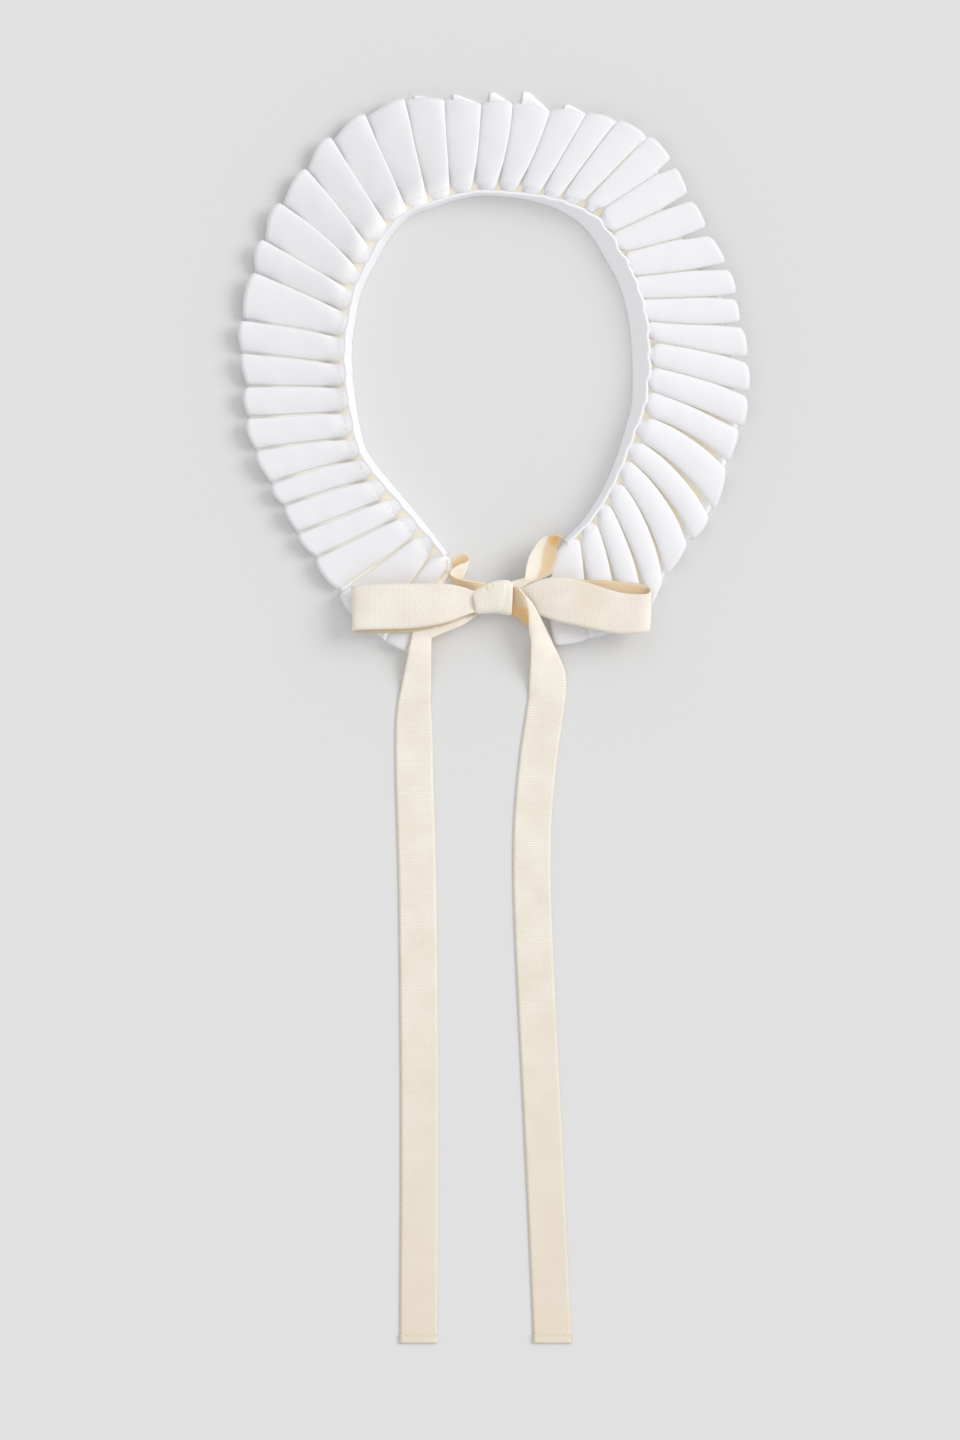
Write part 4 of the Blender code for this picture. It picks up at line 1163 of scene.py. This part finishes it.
def tape_material(name, ground, rib):
    """Natural cotton tape: fine ribs across its width that lean one way and the other in columns,
    with painted orange shade in its folds and a painted glow where its stored shade is below 0.
    """
    shader = Shader(name)
    place, along, across = shader.cloth_map()
    column = shader.maths("PINGPONG", across, HERRINGBONE_COLUMN)
    leaning = shader.maths("MULTIPLY_ADD", column, HERRINGBONE_LEAN, along)
    ribs = shader.wave(leaning, TAPE_RIB_PITCH)
    slub = shader.noise(place, 1.4)
    woven = shader.maths("MULTIPLY_ADD", slub, 0.45, ribs)
    selvedge = shader.wave(across, TAPE_THREAD)
    flecks = shader.spread(shader.noise(place, 0.9, 2.0), 0.72, 0.78)
    painted_shade_and_glow = shader.point_value("painted_shade_and_glow")
    object_place = shader.object_place()
    # The tape turns darker and browner towards the bottom, down along the tails.
    height = shader.add("ShaderNodeSeparateXYZ", Vector=object_place).outputs["Y"]
    height_share = shader.spread(height, *TAPE_LOWER_TONE_FROM)
    by_height = shader.mix(height_share, TAPE_LOWER_TONE, ground)
    patches = shader.spread(shader.noise(object_place, 55.0, 2.0), 0.35, 0.65, 0.0, 0.35)
    uneven = shader.mix(patches, by_height, rib)
    # Painted shade: the warm tape colour in folds and deep orange deepest in.
    with_painted_inner_shade = shader.mix(shader.spread(painted_shade_and_glow, 0.0, 0.5), uneven, TAPE_PAINTED_SHADE)
    with_painted_shade = shader.mix(shader.spread(painted_shade_and_glow, 0.5, 1.0), with_painted_inner_shade, TAPE_PAINTED_DEEP_SHADE)
    painted_shade_rib = shader.mix(shader.spread(painted_shade_and_glow, 0.3, 1.0), rib, TAPE_PAINTED_DEEP_SHADE_RIB)
    colour = shader.mix(shader.spread(woven, 0.1, 1.0), painted_shade_rib, with_painted_shade)
    marked = shader.mix(shader.maths("MULTIPLY", flecks, 0.35), colour, THREAD_CREAM)
    coarse = shader.bump(woven, 0.16, 0.6)
    shader.feed(shader.surface, "Normal", shader.bump(selvedge, 0.04, 0.2, coarse))
    shader.feed(shader.surface, "Base Color", marked)
    shader.feed(shader.surface, "Roughness", shader.spread(slub, 0.3, 0.7, 0.78, 0.88))
    shader.feed(shader.surface, "Emission Color", with_painted_shade)
    # Painted glow where the stored shade is below 0.
    painted_tape_glow = shader.spread(painted_shade_and_glow, -1.0, 0.0, TAPE_PAINTED_GLOW_STRENGTH, 0.0)
    shader.feed(shader.surface, "Emission Strength", painted_tape_glow)
    shader.surface.inputs["Sheen Weight"].default_value = 0.1
    shader.surface.inputs["Specular IOR Level"].default_value = 0.25
    return shader.material


def thread_material(name, colour):
    """Twisted sewing thread."""
    shader = Shader(name)
    place = shader.object_place()
    fibres = shader.noise(place, 2500.0)
    twisted = shader.mix(shader.spread(fibres, 0.3, 0.7, 0.0, 0.3), colour, TAPE_RIB)
    shader.feed(shader.surface, "Base Color", twisted)
    shader.feed(shader.surface, "Normal", shader.bump(fibres, 0.05, 0.4))
    shader.surface.inputs["Roughness"].default_value = 0.6
    return shader.material


def floor_material():
    """A smooth pale paper surface."""
    shader = Shader("pale paper")
    place = shader.object_place()
    grain = shader.noise(place, 400.0)
    shader.feed(shader.surface, "Normal", shader.bump(grain, 0.02, 0.1))
    shader.surface.inputs["Base Color"].default_value = FLOOR_GREY
    shader.surface.inputs["Emission Color"].default_value = FLOOR_GREY
    shader.surface.inputs["Emission Strength"].default_value = FLOOR_FILL
    shader.surface.inputs["Roughness"].default_value = 0.9
    shader.surface.inputs["Specular IOR Level"].default_value = 0.1
    return shader.material


def add_floor():
    size = FLOOR_SIZE / 2
    corners = [(-size, -size, 0.0), (size, -size, 0.0), (size, size, 0.0), (-size, size, 0.0)]
    floor = add_mesh("floor", corners, [(0, 1, 2, 3)], [floor_material()])
    floor.location.z = -FLOOR_DROP * MM


def add_lights():
    world = bpy.data.worlds.new("soft daylight")
    bpy.context.scene.world = world
    world.use_nodes = True
    ground = world.node_tree.nodes["Background"]
    ground.inputs["Color"].default_value = (1.0, 1.0, 1.0, 1.0)
    ground.inputs["Strength"].default_value = WORLD_LIGHT
    sun = bpy.data.lights.new("window", "SUN")
    sun.energy = KEY_LIGHT
    sun.angle = math.radians(KEY_SOFTNESS)
    lamp = bpy.data.objects.new("window", sun)
    bpy.context.scene.collection.objects.link(lamp)
    elevation, azimuth = math.radians(KEY_ELEVATION), math.radians(KEY_AZIMUTH)
    level = math.cos(elevation)
    toward = Vector((level * math.cos(azimuth), level * math.sin(azimuth), math.sin(elevation)))
    lamp.rotation_euler = toward.to_track_quat("Z", "Y").to_euler()


def add_camera():
    lens = bpy.data.cameras.new("above")
    lens.type = "ORTHO"
    lens.ortho_scale = FRAME_PIXELS_HIGH * PIXEL * MM
    lens.sensor_fit = "VERTICAL"
    lens.clip_end = 10.0
    camera = bpy.data.objects.new("above", lens)
    bpy.context.scene.collection.objects.link(camera)
    camera.location = (VIEW_CENTRE[0] * MM, VIEW_CENTRE[1] * MM, CAMERA_HEIGHT * MM)
    bpy.context.scene.camera = camera
    bpy.context.scene.view_settings.view_transform = "Standard"


def place_piece(thing, slot, *nodes):
    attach(thing, "root")
    if nodes:
        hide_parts(*nodes)


def main():
    add_camera()
    band = Neckband()
    ruffle = Ruffle(band)
    poplin = poplin_material(
        "white cotton poplin", POPLIN_WHITE, POPLIN_SHADE, POPLIN_PAINTED_HOLLOW_SHADE, FOLD_GLOW, FOLD_PAINTED_GLOW_STRENGTH
    )
    # The neckband's copy of the poplin: a darker white with an even painted glow and no fold tint.
    band_cloth = poplin_material(
        "neckband poplin", BAND_WHITE, BAND_WHITE, BAND_WHITE, BAND_GLOW, BAND_PAINTED_GLOW_STRENGTH
    )
    tape = tape_material("cream cotton tape", TAPE_CREAM, TAPE_RIB)
    # A copy of the tape with painted warm shade, for one side of loops, leads and tails.
    painted_shade_tape = tape_material("cream cotton tape with painted shade", TAPE_PAINTED_SHADE, TAPE_PAINTED_SHADE_RIB)
    white_thread = thread_material("white sewing thread", THREAD_WHITE)
    cream_thread = thread_material("cream sewing thread", THREAD_CREAM)

    neckband = add_loft("neckband_cloth", band.surface(), [band_cloth])
    place_piece(neckband, "band_cloth", "neckband")

    stitching = add_stitches("seam_stitching", seam_stitches(ruffle), white_thread)
    place_piece(stitching, "ruffle_cloth")
    halves = (
        ("left", 0, CENTRE_BACK_PLEAT, LEFT_RUFFLE_FLAT, [stitching]),
        ("right", CENTRE_BACK_PLEAT, len(LINES) - 1, RIGHT_RUFFLE_FLAT, []),
    )
    for side, first, last, flat, on_it in halves:
        grid, painted_shade_and_glow, hem = ruffle.surface(first, last)
        half = add_sheet(f"ruffle_{side}_cloth", grid, CLOTH_THICKNESS, [poplin], painted_shade_and_glow, hem)
        place_piece(half, "ruffle_cloth", f"ruffle_{side}")

    tapes = (
        ("left_bow_loop", LEFT_LOOP, LEFT_LOOP_FLAT, (tape, painted_shade_tape)),
        ("right_bow_loop", RIGHT_LOOP, RIGHT_LOOP_FLAT, (painted_shade_tape, tape)),
        ("left_lead", LEFT_LEAD, LEFT_LEAD_FLAT, (painted_shade_tape, tape)),
        ("right_lead", RIGHT_LEAD, RIGHT_LEAD_FLAT, (tape, tape)),
    )
    for name, rows, flat, sides in tapes:
        grid = tape_grid(rows)
        piece = add_sheet(f"{name}_cloth", grid, TAPE_THICKNESS, sides, tape_painted_shade_and_glow(name, grid))
        place_piece(piece, "tape", name)
    tails = (
        ("left_tail", LEFT_TAIL, LEFT_TAIL_FLAT),
        ("right_tail", RIGHT_TAIL, RIGHT_TAIL_FLAT),
    )
    for name, rows, flat in tails:
        grid = tape_grid(rows)
        sides = [painted_shade_tape, tape]
        tail = add_sheet(f"{name}_cloth", grid, TAPE_THICKNESS, sides, tape_painted_shade_and_glow(name, grid))
        place_piece(tail, "tape", name)
        hem = add_tail_hem(f"{name}_hem", grid, tape)
        place_piece(hem, "tape")
        stitches = add_stitches(f"{name}_stitching", hem_stitches(grid), cream_thread)
        place_piece(stitches, "tape")

    knot = add_loft("knot_cloth", knot_rings(), [tape])
    place_piece(knot, "tape", "knot")

    add_floor()
    add_lights()


main()
